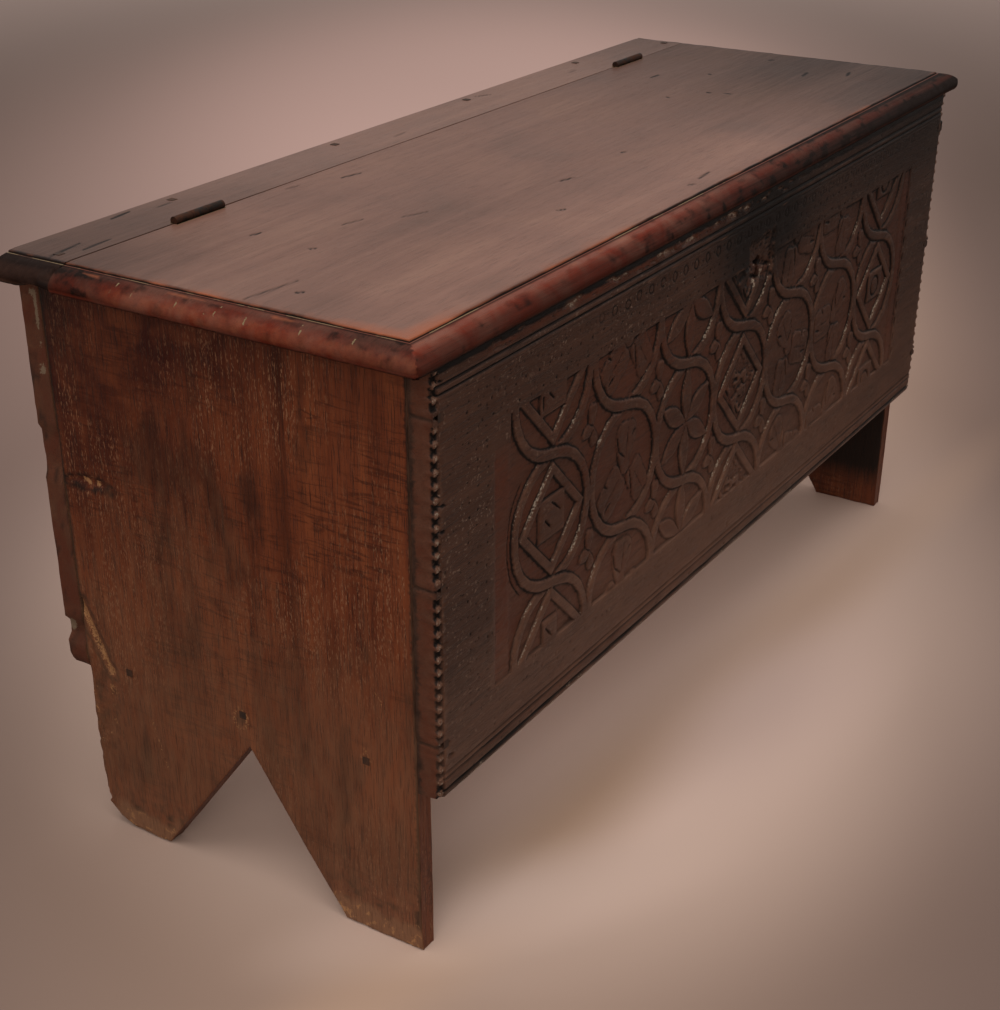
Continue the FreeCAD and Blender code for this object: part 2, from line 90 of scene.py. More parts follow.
def noise(x, y, seed=0):
    """Smooth value noise from -1 to 1, one cell to a unit."""
    x, y = np.broadcast_arrays(np.asarray(x, float), np.asarray(y, float))
    ix, iy = np.floor(x).astype(np.int64), np.floor(y).astype(np.int64)
    fx, fy = x - ix, y - iy
    fx, fy = fx * fx * (3 - 2 * fx), fy * fy * (3 - 2 * fy)
    low = lattice(ix, iy, seed) * (1 - fx) + lattice(ix + 1, iy, seed) * fx
    high = lattice(ix, iy + 1, seed) * (1 - fx) + lattice(ix + 1, iy + 1, seed) * fx
    return low * (1 - fy) + high * fy


def fbm(x, y, seed=0, octaves=4):
    total, gain = 0.0, 0.5
    for k in range(octaves):
        total = total + gain * noise(x * 2**k, y * 2**k, seed + 17 * k)
        gain /= 2
    return total


def lines(*spans):
    """Grid lines over joined runs of (start, end, step)."""
    runs = [np.linspace(a, b, max(1, round((b - a) / s)), endpoint=False) for a, b, s in spans]
    return np.append(np.concatenate(runs), spans[-1][1])


def blur(field, reach):
    """Mean over a square of cells, run twice."""
    for _ in range(2):
        for axis in (0, 1):
            pad = [(reach + 1, reach) if a == axis else (0, 0) for a in (0, 1)]
            total = np.cumsum(np.pad(field, pad, mode="edge"), axis=axis)
            n = field.shape[axis]
            high = np.take(total, np.arange(2 * reach + 1, 2 * reach + 1 + n), axis=axis)
            low = np.take(total, np.arange(0, n), axis=axis)
            field = (high - low) / (2 * reach + 1)
    return field


def to_segment(x, z, x0, z0, x1, z1):
    """Distance to a segment, and how far along it, from 0 to 1."""
    dx, dz = x1 - x0, z1 - z0
    t = np.clip(((x - x0) * dx + (z - z0) * dz) / (dx * dx + dz * dz), 0, 1)
    return np.hypot(x - x0 - t * dx, z - z0 - t * dz), t


def gouge(x, z, x0, z0, x1, z1, width):
    """A boat-shaped cut: 1 along its keel, 0 at its sides and past its ends."""
    away, t = to_segment(x, z, x0, z0, x1, z1)
    half = width / 2 * np.sqrt(np.clip(4 * t * (1 - t), 0.12, 1))
    return np.clip(1 - away / half, 0, 1)


def gouges(x, z, *cuts):
    """Several gouge cuts together, each given as x0, z0, x1, z1 and width."""
    return sum(gouge(x, z, *cut) for cut in cuts)


def leaf(x, z, cx, cz, long, wide, turn, lobes=0, depth=0.0):
    """A raised oval with soft edges and, with lobes, a scalloped outline."""
    c, s = math.cos(math.radians(turn)), math.sin(math.radians(turn))
    u = ((x - cx) * c + (z - cz) * s) / long
    v = (-(x - cx) * s + (z - cz) * c) / wide
    r = np.hypot(u, v) * (1 + depth * np.cos(lobes * np.arctan2(v, u)))
    return smooth(1 + 0.7 / wide, 1 - 0.9 / wide, r)


# ---------------------------------------------------------------- meshes


# The four masks of a vertex, in this order. Wear also carries painted highlights, dirt painted shade, and
# bare wood painted glints.
WEAR_AND_HIGHLIGHT, DIRT_AND_SHADE, GROUND, BARE_AND_GLINT = 0, 1, 2, 3


def at_least(masks, layer, amount):
    """Raises one mask to an amount where it is lower."""
    masks[..., layer] = np.maximum(masks[..., layer], amount)


def new_piece(name, verts, faces, masks, material, crease=48):
    """A mesh object from millimetres. masks is wear with painted highlights, dirt with painted shade, ground,
    and bare wood with painted glints, for each vertex.
    """
    mesh = bpy.data.meshes.new(name)
    mesh.from_pydata((np.asarray(verts, float) * MM).tolist(), [], faces)
    layer = mesh.attributes.new("mask", "FLOAT_COLOR", "POINT")
    layer.data.foreach_set("color", np.clip(masks, 0, 1).astype(np.float32).ravel())
    mesh.materials.append(material)
    piece = bpy.data.objects.new(name, mesh)
    bpy.context.scene.collection.objects.link(piece)
    finish_shading(piece, crease)
    return piece


def finish_shading(piece, crease):
    mesh = piece.data
    mesh.shade_smooth()
    mesh.set_sharp_from_angle(angle=math.radians(crease))


def apply_modifiers(piece, crease):
    """Bakes the modifiers into the mesh."""
    bpy.context.view_layer.update()
    depsgraph = bpy.context.evaluated_depsgraph_get()
    made = piece.evaluated_get(depsgraph)
    mesh = bpy.data.meshes.new_from_object(made, preserve_all_data_layers=True, depsgraph=depsgraph)
    old = piece.data
    piece.modifiers.clear()
    piece.data = mesh
    bpy.data.meshes.remove(old)
    mesh.name = piece.name
    finish_shading(piece, crease)


def cut_with(piece, boxes, crease=48):
    """Takes boxes, each a low and a high corner, out of a piece, one after another."""
    cutters = []
    for low, high in boxes:
        verts = [[(high if k >> a & 1 else low)[a] * MM for a in range(3)] for k in range(8)]
        sides = ((0, 2, 3, 1), (4, 5, 7, 6), (0, 1, 5, 4), (2, 6, 7, 3), (0, 4, 6, 2), (1, 3, 7, 5))
        mesh = bpy.data.meshes.new("cutter")
        mesh.from_pydata(verts, [], sides)
        cutter = bpy.data.objects.new("cutter", mesh)
        bpy.context.scene.collection.objects.link(cutter)
        modifier = piece.modifiers.new("recess", "BOOLEAN")
        modifier.operation = "DIFFERENCE"
        modifier.solver = "EXACT"
        modifier.object = cutter
        cutters.append(cutter)
    apply_modifiers(piece, crease)
    for cutter in cutters:
        mesh = cutter.data
        bpy.data.objects.remove(cutter)
        bpy.data.meshes.remove(mesh)


def thin_out(piece, triangles, crease=48):
    """Merges faces where the surface is flattest, down to a number of triangles."""
    count = sum(len(p.vertices) - 2 for p in piece.data.polygons)
    if count <= triangles:
        return
    modifier = piece.modifiers.new("thin", "DECIMATE")
    modifier.ratio = triangles / count
    apply_modifiers(piece, crease)


def grid_faces(index, flip=False):
    """Quads between neighbours of a 2-D array of vertex numbers."""
    a, b, c, d = index[:-1, :-1], index[:-1, 1:], index[1:, 1:], index[1:, :-1]
    order = (a, d, c, b) if flip else (a, b, c, d)
    return np.stack([o.ravel() for o in order], axis=1)


def rim_of(index):
    """The border of a 2-D array of vertex numbers, once round."""
    return np.concatenate([index[0, :-1], index[:-1, -1], index[-1, :0:-1], index[:0:-1, 0]])


def wall_faces(upper, lower, flip=False):
    """Quads between two closed rings of vertex numbers."""
    a, b = upper, np.roll(upper, -1)
    c, d = np.roll(lower, -1), lower
    order = (a, b, c, d) if flip else (a, d, c, b)
    return np.stack(order, axis=1)


def inside_polygon(points, outline):
    x, y = points[:, 0][:, None], points[:, 1][:, None]
    x0, y0 = outline[:, 0], outline[:, 1]
    x1, y1 = np.roll(x0, -1), np.roll(y0, -1)
    crosses = (y0 > y) != (y1 > y)
    at = x0 + (y - y0) * (x1 - x0) / np.where(y1 == y0, 1e-9, y1 - y0)
    return (np.sum(crosses & (x < at), axis=1) % 2) == 1


def edge_distance(points, outline):
    best = np.full(len(points), 1e9)
    for p, q in zip(outline, np.roll(outline, -1, axis=0)):
        best = np.minimum(best, to_segment(points[:, 0], points[:, 1], *p, *q)[0])
    return best


def trace(corners, step):
    """Points about a step apart along a closed outline, its corners included."""
    points = []
    for p, q in zip(corners, corners[1:] + corners[:1]):
        p, q = np.array(p, float), np.array(q, float)
        n = max(1, round(np.linalg.norm(q - p) / step))
        points += [p + (q - p) * k / n for k in range(n)]
    return np.array(points)


def fill_outline(outline, step, seed):
    """Triangles over a closed outline. Returns the points, outline first, and the triangles."""
    low, high = outline.min(0), outline.max(0)
    u, v = np.meshgrid(np.arange(low[0], high[0], step), np.arange(low[1], high[1], step * 0.87))
    u = u + (np.arange(len(v)) % 2)[:, None] * step / 2
    spots = np.stack([u.ravel(), v.ravel()], axis=1)
    spots = spots + np.random.default_rng(seed).uniform(-0.22, 0.22, spots.shape) * step
    spots = spots[inside_polygon(spots, outline)]
    spots = spots[edge_distance(spots, outline) > step * 0.55]
    points = np.concatenate([outline, spots])
    ring = list(range(len(outline)))
    _, _, faces, source, _, _ = delaunay_2d_cdt([Vector(p) for p in points], [], [ring], 1, 1e-5)
    where = {min(s): k for k, s in enumerate(source) if s}
    back = {k: n for n, k in where.items()}
    return points, np.array([[back[k] for k in f] for f in faces])


def plank(name, outline, thick, place, relief, under, material, step=6.0, wear=1.2, seed=1, edge=None):
    """A board with two broad faces over an outline, soft worn arrises and sawn edges.

    place(u, v, depth) gives x, y, z. relief and under give the depth and the masks of the two faces,
    and edge the masks of the sawn edges.
    """
    points, triangles = fill_outline(outline, step, seed)
    n, border = len(points), len(outline)
    ahead, behind = np.roll(outline, -1, axis=0), np.roll(outline, 1, axis=0)
    along = ahead - behind
    inward = np.stack([-along[:, 1], along[:, 0]], axis=1)
    inward /= np.linalg.norm(inward, axis=1)[:, None]
    if np.sum(outline[:, 0] * ahead[:, 1] - ahead[:, 0] * outline[:, 1]) < 0:
        inward = -inward
    run = np.cumsum(np.linalg.norm(along, axis=1)) / 2
    softness = wear * (1 + 0.7 * fbm(run / 30, run * 0, seed + 5))
    face_spots = points.copy()
    face_spots[:border] += inward * softness[:, None]
    top_depth, top_mask = relief(face_spots[:, 0], face_spots[:, 1])
    low_depth, low_mask = under(face_spots[:, 0], face_spots[:, 1])
    top_mask[:border, 0] = np.maximum(top_mask[:border, 0], 0.3)
    verts = [place(face_spots[:, 0], face_spots[:, 1], top_depth)]
    masks = [top_mask]
    fractions = (0.0, 0.2, 0.4, 0.6, 0.8, 1.0)
    for k, f in enumerate(fractions):
        depth = softness * 0.9 + (thick - 2 * softness * 0.9) * f
        if k == 0:
            depth = depth + top_depth[:border]
        saw = 0.35 * (1 + fbm(run / 9, run * 0 + 3 * k, seed + 9)) * (0 < k < len(fractions) - 1)
        spots = outline + inward * saw[:, None]
        verts.append(place(spots[:, 0], spots[:, 1], depth))
        mask = np.zeros((border, 4))
        mask[:, 0] = 0.2 if k in (0, len(fractions) - 1) else 0.0
        mask[:, 1] = 0.25
        if edge is not None:
            mask = edge(outline[:, 0], outline[:, 1], depth)
        masks.append(mask)
    verts.append(place(face_spots[:, 0], face_spots[:, 1], thick - low_depth))
    masks.append(low_mask)
    faces = [triangles]
    rings = [np.arange(border)]
    for k in range(len(fractions)):
        rings.append(n + k * border + np.arange(border))
    last = n + len(fractions) * border
    rings.append(last + np.arange(border))
    quads = np.concatenate([wall_faces(a, b) for a, b in zip(rings, rings[1:])])
    other = triangles[:, ::-1] + last
    all_verts = np.concatenate(verts)
    all_faces = triangles.tolist() + quads.tolist() + other.tolist()
    corner = all_verts[triangles[0]]
    facing = np.cross(corner[1] - corner[0], corner[2] - corner[0])
    outward = place(*points[triangles[0]].T, np.full(3, -1.0)) - corner
    if np.dot(facing, outward[0]) < 0:
        all_faces = [f[::-1] for f in all_faces]
    piece = new_piece(name, all_verts, all_faces, np.concatenate(masks), material)
    return piece


# ---------------------------------------------------------------- node materials


def srgb(*rgb):
    """A colour written as screen values from 0 to 255."""
    return tuple(((c / 255 + 0.055) / 1.055) ** 2.4 if c > 10 else c / 255 / 12.92 for c in rgb) + (1.0,)


X_AXIS, Y_AXIS, Z_AXIS = 0, 1, 2


def add_node(tree, kind, inputs=(), **settings):
    """A node whose inputs are set to values, or linked where a socket is given."""
    made = tree.nodes.new(kind)
    for key, value in settings.items():
        setattr(made, key, value)
    for key, value in dict(inputs).items():
        if isinstance(value, bpy.types.NodeSocket):
            tree.links.new(value, made.inputs[key])
        else:
            made.inputs[key].default_value = value
    return made


class Shader:
    """Builds one node material of a piece with masks."""

    def __init__(self, name):
        self.material = bpy.data.materials.new(name)
        self.material.use_nodes = True
        self.tree = self.material.node_tree
        self.tree.nodes.clear()
        self.bsdf = self.node("ShaderNodeBsdfPrincipled")
        out = self.node("ShaderNodeOutputMaterial")
        self.tree.links.new(self.bsdf.outputs[0], out.inputs[0])
        self.place = self.node("ShaderNodeTexCoord").outputs["Object"]
        mask = self.node("ShaderNodeAttribute", attribute_name="mask")
        split = self.node("ShaderNodeSeparateColor", {0: mask.outputs["Color"]})
        self.wear, self.dirt, self.ground = split.outputs[:3]
        self.bare_and_glint = mask.outputs["Alpha"]

    def node(self, kind, inputs=(), **settings):
        return add_node(self.tree, kind, inputs, **settings)

    def maths(self, operation, a, b=0.0, clamp=False):
        made = self.node("ShaderNodeMath", {0: a, 1: b}, operation=operation, use_clamp=clamp)
        return made.outputs[0]

    def times(self, a, b):
        return self.maths("MULTIPLY", a, b)

    def plus(self, a, b, clamp=False):
        return self.maths("ADD", a, b, clamp)

    def noise(self, scale, stretch=(1, 1, 1), detail=4.0, rough=0.55, distortion=0.0, shift=(0, 0, 0)):
        """Noise from 0 to 1. scale is in cells to a metre, and stretch multiplies it along each axis."""
        size = tuple(scale * s for s in stretch)
        spot = self.node("ShaderNodeMapping", {"Vector": self.place, "Scale": size, "Location": shift})
        inputs = {"Vector": spot.outputs[0], "Scale": 1.0, "Detail": detail}
        inputs.update({"Roughness": rough, "Distortion": distortion})
        return self.node("ShaderNodeTexNoise", inputs).outputs[0]

    def span(self, value, low, high, to_low=0.0, to_high=1.0):
        """Maps low..high to to_low..to_high, held at its ends."""
        made = self.node("ShaderNodeMapRange", {0: value, 1: low, 2: high, 3: to_low, 4: to_high})
        return made.outputs[0]

    def ramp(self, value, stops):
        made = self.node("ShaderNodeValToRGB", {0: value})
        band = made.color_ramp
        while len(band.elements) < len(stops):
            band.elements.new(0.5)
        for element, (at, colour) in zip(band.elements, stops):
            element.position = at
            element.color = colour
        return made.outputs[0]

    def mix(self, share, a, b):
        return self.node("ShaderNodeMix", {0: share, 6: a, 7: b}, data_type="RGBA").outputs[2]

    def bump(self, height, distance):
        inputs = {"Height": height, "Distance": distance, "Strength": 1.0}
        return self.node("ShaderNodeBump", inputs).outputs[0]

    def set(self, **values):
        names = {
            "colour": "Base Color",
            "rough": "Roughness",
            "normal": "Normal",
            "metal": "Metallic",
            "coat": "Coat Weight",
            "coat_rough": "Coat Roughness",
            "specular": "Specular IOR Level",
        }
        for key, value in values.items():
            socket = self.bsdf.inputs[names[key]]
            if isinstance(value, bpy.types.NodeSocket):
                self.tree.links.new(value, socket)
            else:
                socket.default_value = value


def axis_stretch(axis, along, across):
    return tuple(along if a == axis else across for a in range(3))


def oak(
    name, axis, dark, mid, light, *, rough=(0.42, 0.6), coat=0.0, coat_rough=0.3, specular=0.4,
    pores=0.6, cloud=0.5, streak=0.5, flecks=None, worn=None, dirty=None, ground=None, bare_and_glint=None,
    dusty_glint_specks=None, figure=0.0, relief=0.0006, dulled=None, seed=0,
):
    """Old oak with its grain along one axis: rings, open pores, clouds of stain, wear and dirt, with the
    painted highlights, shade and glints that its masks carry.
    """
    s = Shader(name)
    shift = (seed * 1.7, seed * 2.3, seed * 3.1)
    rings = s.noise(1.0, axis_stretch(axis, 2.2, 46), 6, 0.6, 0.6, shift)
    fibre = s.noise(1.0, axis_stretch(axis, 9, 420), 4, 0.6, 0.15, shift)
    pore = s.noise(1.0, axis_stretch(axis, 38, 1150), 2, 0.5, 0.0, shift)
    stain = s.noise(5.5, (1, 1, 1), 4, 0.55, 0.4, shift)
    tone = s.plus(s.times(rings, streak), s.times(fibre, 0.5 * streak))
    tone = s.plus(tone, s.times(stain, cloud))
    total = 1.5 * streak + cloud
    tone = s.span(tone, 0.36 * total, 0.64 * total)
    colour = s.ramp(tone, [(0.0, dark), (0.45, mid), (1.0, light)])
    if figure:
        across = axis_stretch(Y_AXIS, 16, 150)
        ray = s.span(s.noise(1.0, across, 3, 0.6, 1.6, shift), 0.5, 0.62, 0, figure)
        colour = s.mix(s.times(ray, s.span(s.noise(9.0), 0.42, 0.56)), colour, dark)
    # Pale specks: partly dust, partly painted glints; fewer on the red ground.
    if dusty_glint_specks is not None:
        glint_speck = s.span(s.noise(330.0, (1, 1, 1), 1, 0.5, 0.0, shift), 0.64, 0.7, 0, 0.75)
        glint_speck = s.times(glint_speck, s.span(s.noise(11.0), 0.4, 0.55))
        colour = s.mix(s.times(glint_speck, s.span(s.ground, 0.0, 0.3, 1.0, 0.25)), colour, dusty_glint_specks)
    if ground is not None:
        redness = s.span(s.noise(26.0, (1, 1, 1), 3, 0.6, 0.5, shift), 0.35, 0.62, 0.45, 1.0)
        colour = s.mix(s.times(s.ground, redness), colour, ground)
    open_pore = s.span(pore, 0.30, 0.43, 1.0, 0.0)
    deep = tuple(0.45 * c for c in dark[:3]) + (1.0,)
    colour = s.mix(s.times(open_pore, pores), colour, deep)
    if flecks is not None:
        area = s.span(s.noise(7.0, (1, 1, 1), 2, 0.5, 0.0, (4, 9, 2)), 0.36, 0.6)
        row = s.span(s.noise(1.0, axis_stretch(axis, 4, 560), 2, 0.5, 0.0, shift), 0.44, 0.56)
        dash = s.span(s.noise(1.0, axis_stretch(axis, 230, 760), 2, 0.5, 0.0, shift), 0.53, 0.64, 0, 0.7)
        colour = s.mix(s.times(s.times(dash, row), area), colour, flecks)
    # The dirt mask darkens towards this colour, and so paints shade as well as dirt.
    if dirty is not None:
        colour = s.mix(s.span(s.plus(s.dirt, s.times(fibre, 0.3)), 0.2, 0.85), colour, dirty)
    # The wear mask lightens towards the worn colour, and so paints highlights as well as wear.
    if worn is not None:
        rub_and_highlight = s.span(s.plus(s.wear, s.times(s.noise(90.0, axis_stretch(axis, 0.3, 1)), 0.5)), 0.42, 1.05)
        colour = s.mix(rub_and_highlight, colour, worn)
    # The bare mask shows bare wood and painted glints.
    if bare_and_glint is not None:
        grit = s.noise(480.0, (1, 1, 1), 2, 0.6, 0.4, shift)
        fresh = s.span(s.plus(s.bare_and_glint, s.times(grit, 0.9)), 0.78, 0.92)
        colour = s.mix(s.times(fresh, s.span(s.bare_and_glint, 0.0, 0.1)), colour, bare_and_glint)
    roughness = s.span(s.plus(s.times(stain, 0.6), s.times(fibre, 0.4)), 0.35, 0.65, rough[0], rough[1])
    roughness = s.plus(roughness, s.times(s.dirt, 0.25), clamp=True)
    height = s.plus(s.times(open_pore, -0.7), s.times(fibre, 0.8))
    normal = s.bump(height, relief)
    if dulled is not None:
        specular = s.span(s.plus(s.ground, s.times(s.dirt, 0.8)), 0.0, 1.0, specular, dulled)
        coat = s.span(s.ground, 0.0, 1.0, coat, 0.02)
    s.set(colour=colour, rough=roughness, normal=normal, coat=coat, coat_rough=coat_rough, specular=specular)
    return s.material


def iron(name, base, rust, rough=0.5, metal=0.75, specular=0.5):
    """Forged iron: dark scale with brown rust and fine pitting."""
    s = Shader(name)
    patch = s.noise(70.0, (1, 1, 1), 5, 0.65, 0.6)
    pits = s.noise(650.0, (1, 1, 1), 3, 0.6)
    colour = s.mix(s.span(patch, 0.42, 0.62), base, rust)
    colour = s.mix(s.span(pits, 0.55, 0.75, 0, 0.5), colour, srgb(20, 14, 11))
    roughness = s.span(patch, 0.35, 0.65, rough, min(1.0, rough + 0.25))
    normal = s.bump(s.plus(patch, s.times(pits, 0.4)), 0.0005)
    s.set(colour=colour, rough=roughness, normal=normal, metal=metal, specular=specular)
    return s.material


front_oak = oak(
    "front_oak", X_AXIS, srgb(48, 30, 22), srgb(66, 43, 33), srgb(84, 56, 43),
    rough=(0.34, 0.5), coat=0.03, coat_rough=0.25, specular=0.17, pores=0.42, cloud=0.5,
    ground=srgb(86, 42, 26), worn=srgb(104, 72, 56), dirty=srgb(18, 11, 8), bare_and_glint=srgb(146, 130, 114),
    dusty_glint_specks=srgb(118, 96, 82), seed=1,
)
end_oak = oak(
    "end_oak", Z_AXIS, srgb(66, 29, 15), srgb(102, 50, 28), srgb(128, 68, 38),
    rough=(0.34, 0.5), coat=0.03, coat_rough=0.25, specular=0.2, pores=0.8, cloud=0.4, streak=0.5, figure=0.7,
    flecks=srgb(146, 104, 76), worn=srgb(122, 85, 61), dirty=srgb(28, 16, 10), bare_and_glint=srgb(158, 114, 76),
    ground=srgb(56, 18, 9), seed=2,
)
lid_look = dict(
    rough=(0.34, 0.46), coat=0.06, coat_rough=0.25, specular=0.32, pores=0.4, cloud=0.32, streak=0.22,
    worn=srgb(138, 78, 52), dirty=srgb(24, 12, 8), bare_and_glint=srgb(120, 104, 78), relief=0.0002, dulled=0.05,
)
lid_oak = oak(
    "lid_oak", X_AXIS, srgb(100, 67, 54), srgb(118, 82, 69), srgb(132, 96, 81),
    ground=srgb(104, 38, 23), seed=3, **lid_look,
)
strip_oak = oak(
    "strip_oak", X_AXIS, srgb(92, 62, 50), srgb(110, 78, 66), srgb(124, 90, 76),
    ground=srgb(48, 28, 20), seed=7, **lid_look,
)
back_oak = oak(
    "back_oak", X_AXIS, srgb(58, 40, 28), srgb(88, 60, 42), srgb(118, 84, 58),
    rough=(0.62, 0.8), specular=0.3, pores=0.6, worn=srgb(128, 92, 58), dirty=srgb(30, 20, 14),
    ground=srgb(88, 42, 23), bare_and_glint=srgb(122, 102, 82), seed=4,
)
inside_oak = oak(
    "inside_oak", X_AXIS, srgb(84, 60, 42), srgb(118, 88, 62), srgb(150, 116, 82),
    rough=(0.66, 0.84), specular=0.25, pores=0.55, worn=srgb(160, 126, 90), dirty=srgb(60, 44, 32), seed=5,
)
till_oak = oak(
    "till_oak", Y_AXIS, srgb(78, 54, 38), srgb(110, 80, 56), srgb(142, 108, 76),
    rough=(0.62, 0.8), specular=0.25, pores=0.55, seed=6,
)
black_iron = iron("black_iron", srgb(34, 26, 22), srgb(74, 42, 26))
nail_iron = iron("nail_iron", srgb(50, 36, 28), srgb(74, 46, 30), rough=0.6, metal=0.35)


# ---------------------------------------------------------------- carved front board

HALF_LENGTH = 600
RING_X = (-407, -266, -132, 3, 136, 268, 404)    # centres of the columns of rings
ROW_Z = (524.0, 390.5, 262.0)                    # centres of the rows
SPANDREL_Z = (458, 326)
RING_WIDE = 66.0                                 # half the width, to the middle of the band
RING_TALL = (65.0, 65.0, 60.5)                   # the same upwards, for each row
RING_HALF = 5.4                                  # half the band
LOZENGE_REACH = 52
FIELD_X = (-508, 496)
FIELD_Z = (261.5, 523)
CORNER_X, CORNER_Z = -478, 497                   # the field's uncut corner, top left
SINK = 2.4
GROOVES = ((583.5, 4.2, 2.0), (576, 3.6, 1.8), (571, 1.8, 0.5), (212, 2.8, 1.2), (205, 3.6, 1.7))
GROOVE_DARKENING = ((583.5, 2.4, 0.4), (576, 2.0, 0.3), (212, 2.0, 0.3), (205, 2.4, 0.35), (192.5, 4.2, 0.6))
KEYHOLE = (33.0, 522.0, 6.0, 3.2, 502.0)         # centre, radius, half the slot's width and its foot
NAIL_Z = (243, 400, 557)
BEAD_PITCH, BEAD_FOOT = 12.7, 192


def strap(away, half, soft=1.6):
    return smooth(half + soft / 2, half - soft / 2, away)


def reach_of(dx, dz, row):
    """1 on the middle of a ring's band, less inside it."""
    return np.hypot(dx / RING_WIDE, dz / RING_TALL[row])


def rings(dx, z):
    """Three rows of rings over one column, their strands crossing where rows meet."""
    raised = np.zeros_like(dx)
    for row, level in enumerate(ROW_Z):
        turn = np.arctan2(z - level, dx)
        ripple = 0.5 * np.abs(np.sin(turn * RING_WIDE / 6.4))
        away = np.abs(reach_of(dx, z - level, row) - 1) * RING_WIDE
        raised = np.maximum(raised, strap(away + ripple, RING_HALF, 1.2))
    tilt = np.sqrt(np.clip(1 - (dx / RING_WIDE) ** 2, 0.05, 1))
    share = smooth(-15, 15, dx)
    for row in (0, 1):
        above, below = ROW_Z[row], ROW_Z[row + 1]
        high, low = above - RING_TALL[row] * tilt, below + RING_TALL[row + 1] * tilt
        over = (1 - share) * high + share * low
        under = share * high + (1 - share) * low
        from_over, from_under = np.abs(z - over) * tilt, np.abs(z - under) * tilt
        tucked = strap(from_under, RING_HALF) * smooth(RING_HALF - 0.3, RING_HALF + 5, from_over) * 0.92
        crossing = np.maximum(strap(from_over, RING_HALF), tucked)
        zone = smooth(34, 26, np.abs(dx)) * smooth(25, 19, np.abs(z - (above + below) / 2))
        raised = raised * (1 - zone) + crossing * zone
    return raised


LOZENGE_CUTS = (
    ((-19, -3, -19, -19, 3.4), (-10, -3, 0, -12, 3.4)),
    ((-14, 5, -3, -6, 3.4), (-2, 20, 14, 7, 3.4)),
    ((-10, 17, 2, 4, 3.4),),
)


def lozenge_strap(dx, dz):
    return strap(np.abs(np.abs(dx) + np.abs(dz) - LOZENGE_REACH) / math.sqrt(2), 4.5, 1.2)


def lozenge(dx, dz, row):
    """A lozenge about a square panel with a cut or two."""
    wide, base, top = ((23.0, -24.0, 30.0), (23.0, -17.0, 25.5), (13.0, -5.0, 24.0))[row]
    side = np.maximum(np.abs(dx + 1) - wide, np.maximum(base - dz, dz - top))
    panel = smooth(0.7, -0.7, side)
    cuts = gouges(dx, dz, *LOZENGE_CUTS[row])
    return np.maximum(lozenge_strap(dx, dz), 0.9 * panel * (1 - 0.8 * np.clip(cuts * 2, 0, 1)))


def rough_lozenge(dx, dz, row):
    """A lozenge about an uneven lump."""
    raised = lozenge_strap(dx, dz)
    lump = smooth(0.05, 0.35, fbm(dx / 11 + 3, dz / 8, 71, 3) + 0.22)
    lump = lump * smooth(42, 36, np.abs(dx) + np.abs(dz))
    cuts = gouges(dx, dz, (-40, 6, -22, -14, 4), (0, 4, 10, -4, 4), (-12, -22, 2, -40, 4))
    return np.maximum(raised, 0.8 * lump * (1 - np.clip(cuts * 2, 0, 1)))


def round_lozenge(dx, dz, row):
    """A lozenge about a square panel with a ring and a boss."""
    raised = lozenge_strap(dx, dz)
    panel = smooth(0.9, -0.9, np.maximum(np.abs(dx - 1) - 22, np.abs(dz - 3) - 19))
    groove = strap(np.abs(np.hypot(dx - 1, dz - 1) - 12), 1.6, 1.4)
    boss = leaf(dx, dz, 2, 0, 5, 5, 0)
    return np.maximum(raised, 0.9 * panel * (1 - 0.75 * groove * (1 - boss)))


def rosette(dx, dz, row):
    """Six petals struck with a compass."""
    raised = np.zeros_like(dx)
    for k in range(6):
        angle = math.radians(30 + 60 * k)
        run = dx * math.cos(angle) + dz * math.sin(angle)
        side = -dx * math.sin(angle) + dz * math.cos(angle)
        half = 10.2 * np.sin(np.pi * np.clip(run / 61, 0, 1))
        ridge = 0.92 - 0.14 * np.clip(1 - np.abs(side) / np.maximum(half, 0.5), 0, 1)
        petal = smooth(0.8, -0.8, np.abs(side) - half) * ridge * (run > 0) * (half > 0.6)
        raised = np.maximum(raised, petal)
    return raised


def sprig(dx, dz, row, turn=0.0, flip=1):
    """Three lobed leaves about a small eye."""
    c, s = math.cos(math.radians(turn)), math.sin(math.radians(turn))
    u, v = flip * (dx * c + dz * s), -dx * s + dz * c
    raised = leaf(u, v, 2, 27, 24, 19, 80, 3, 0.12)
    raised = np.maximum(raised, leaf(u, v, -25, -20, 27, 21, 38, 4, 0.12))
    raised = np.maximum(raised, leaf(u, v, 29, -23, 25, 18, -56, 4, 0.12))
    raised = np.maximum(raised, leaf(u, v, 1, 1, 9, 9, 0))
    veins = gouges(u, v, (2, 10, 6, 42, 3), (-12, -10, -38, -30, 3), (22, -12, 40, -36, 3))
    bites = gouges(
        u, v, (-16, 37, -12, 20, 4), (-12, 20, 0, 11, 4), (12, -8, 20, -46, 4),
        (-46, -4, -34, -10, 5), (-38, -36, -27, -30, 4), (22, 34, 14, 30, 4),
    )
    rounded = 0.42 + 0.24 * smooth(-0.4, 0.4, fbm(u / 9 + 5, v / 9, 81, 2))
    return rounded * raised * (1 - 0.45 * np.clip(veins * 1.4, 0, 1)) * (1 - np.clip(bites * 1.8, 0, 1))


MOTIFS = (
    lozenge, sprig, rosette, rough_lozenge,
    lambda dx, dz, row: sprig(dx, dz, row, 24, -1),
    lambda dx, dz, row: sprig(dx, dz, row, -38),
    round_lozenge,
)


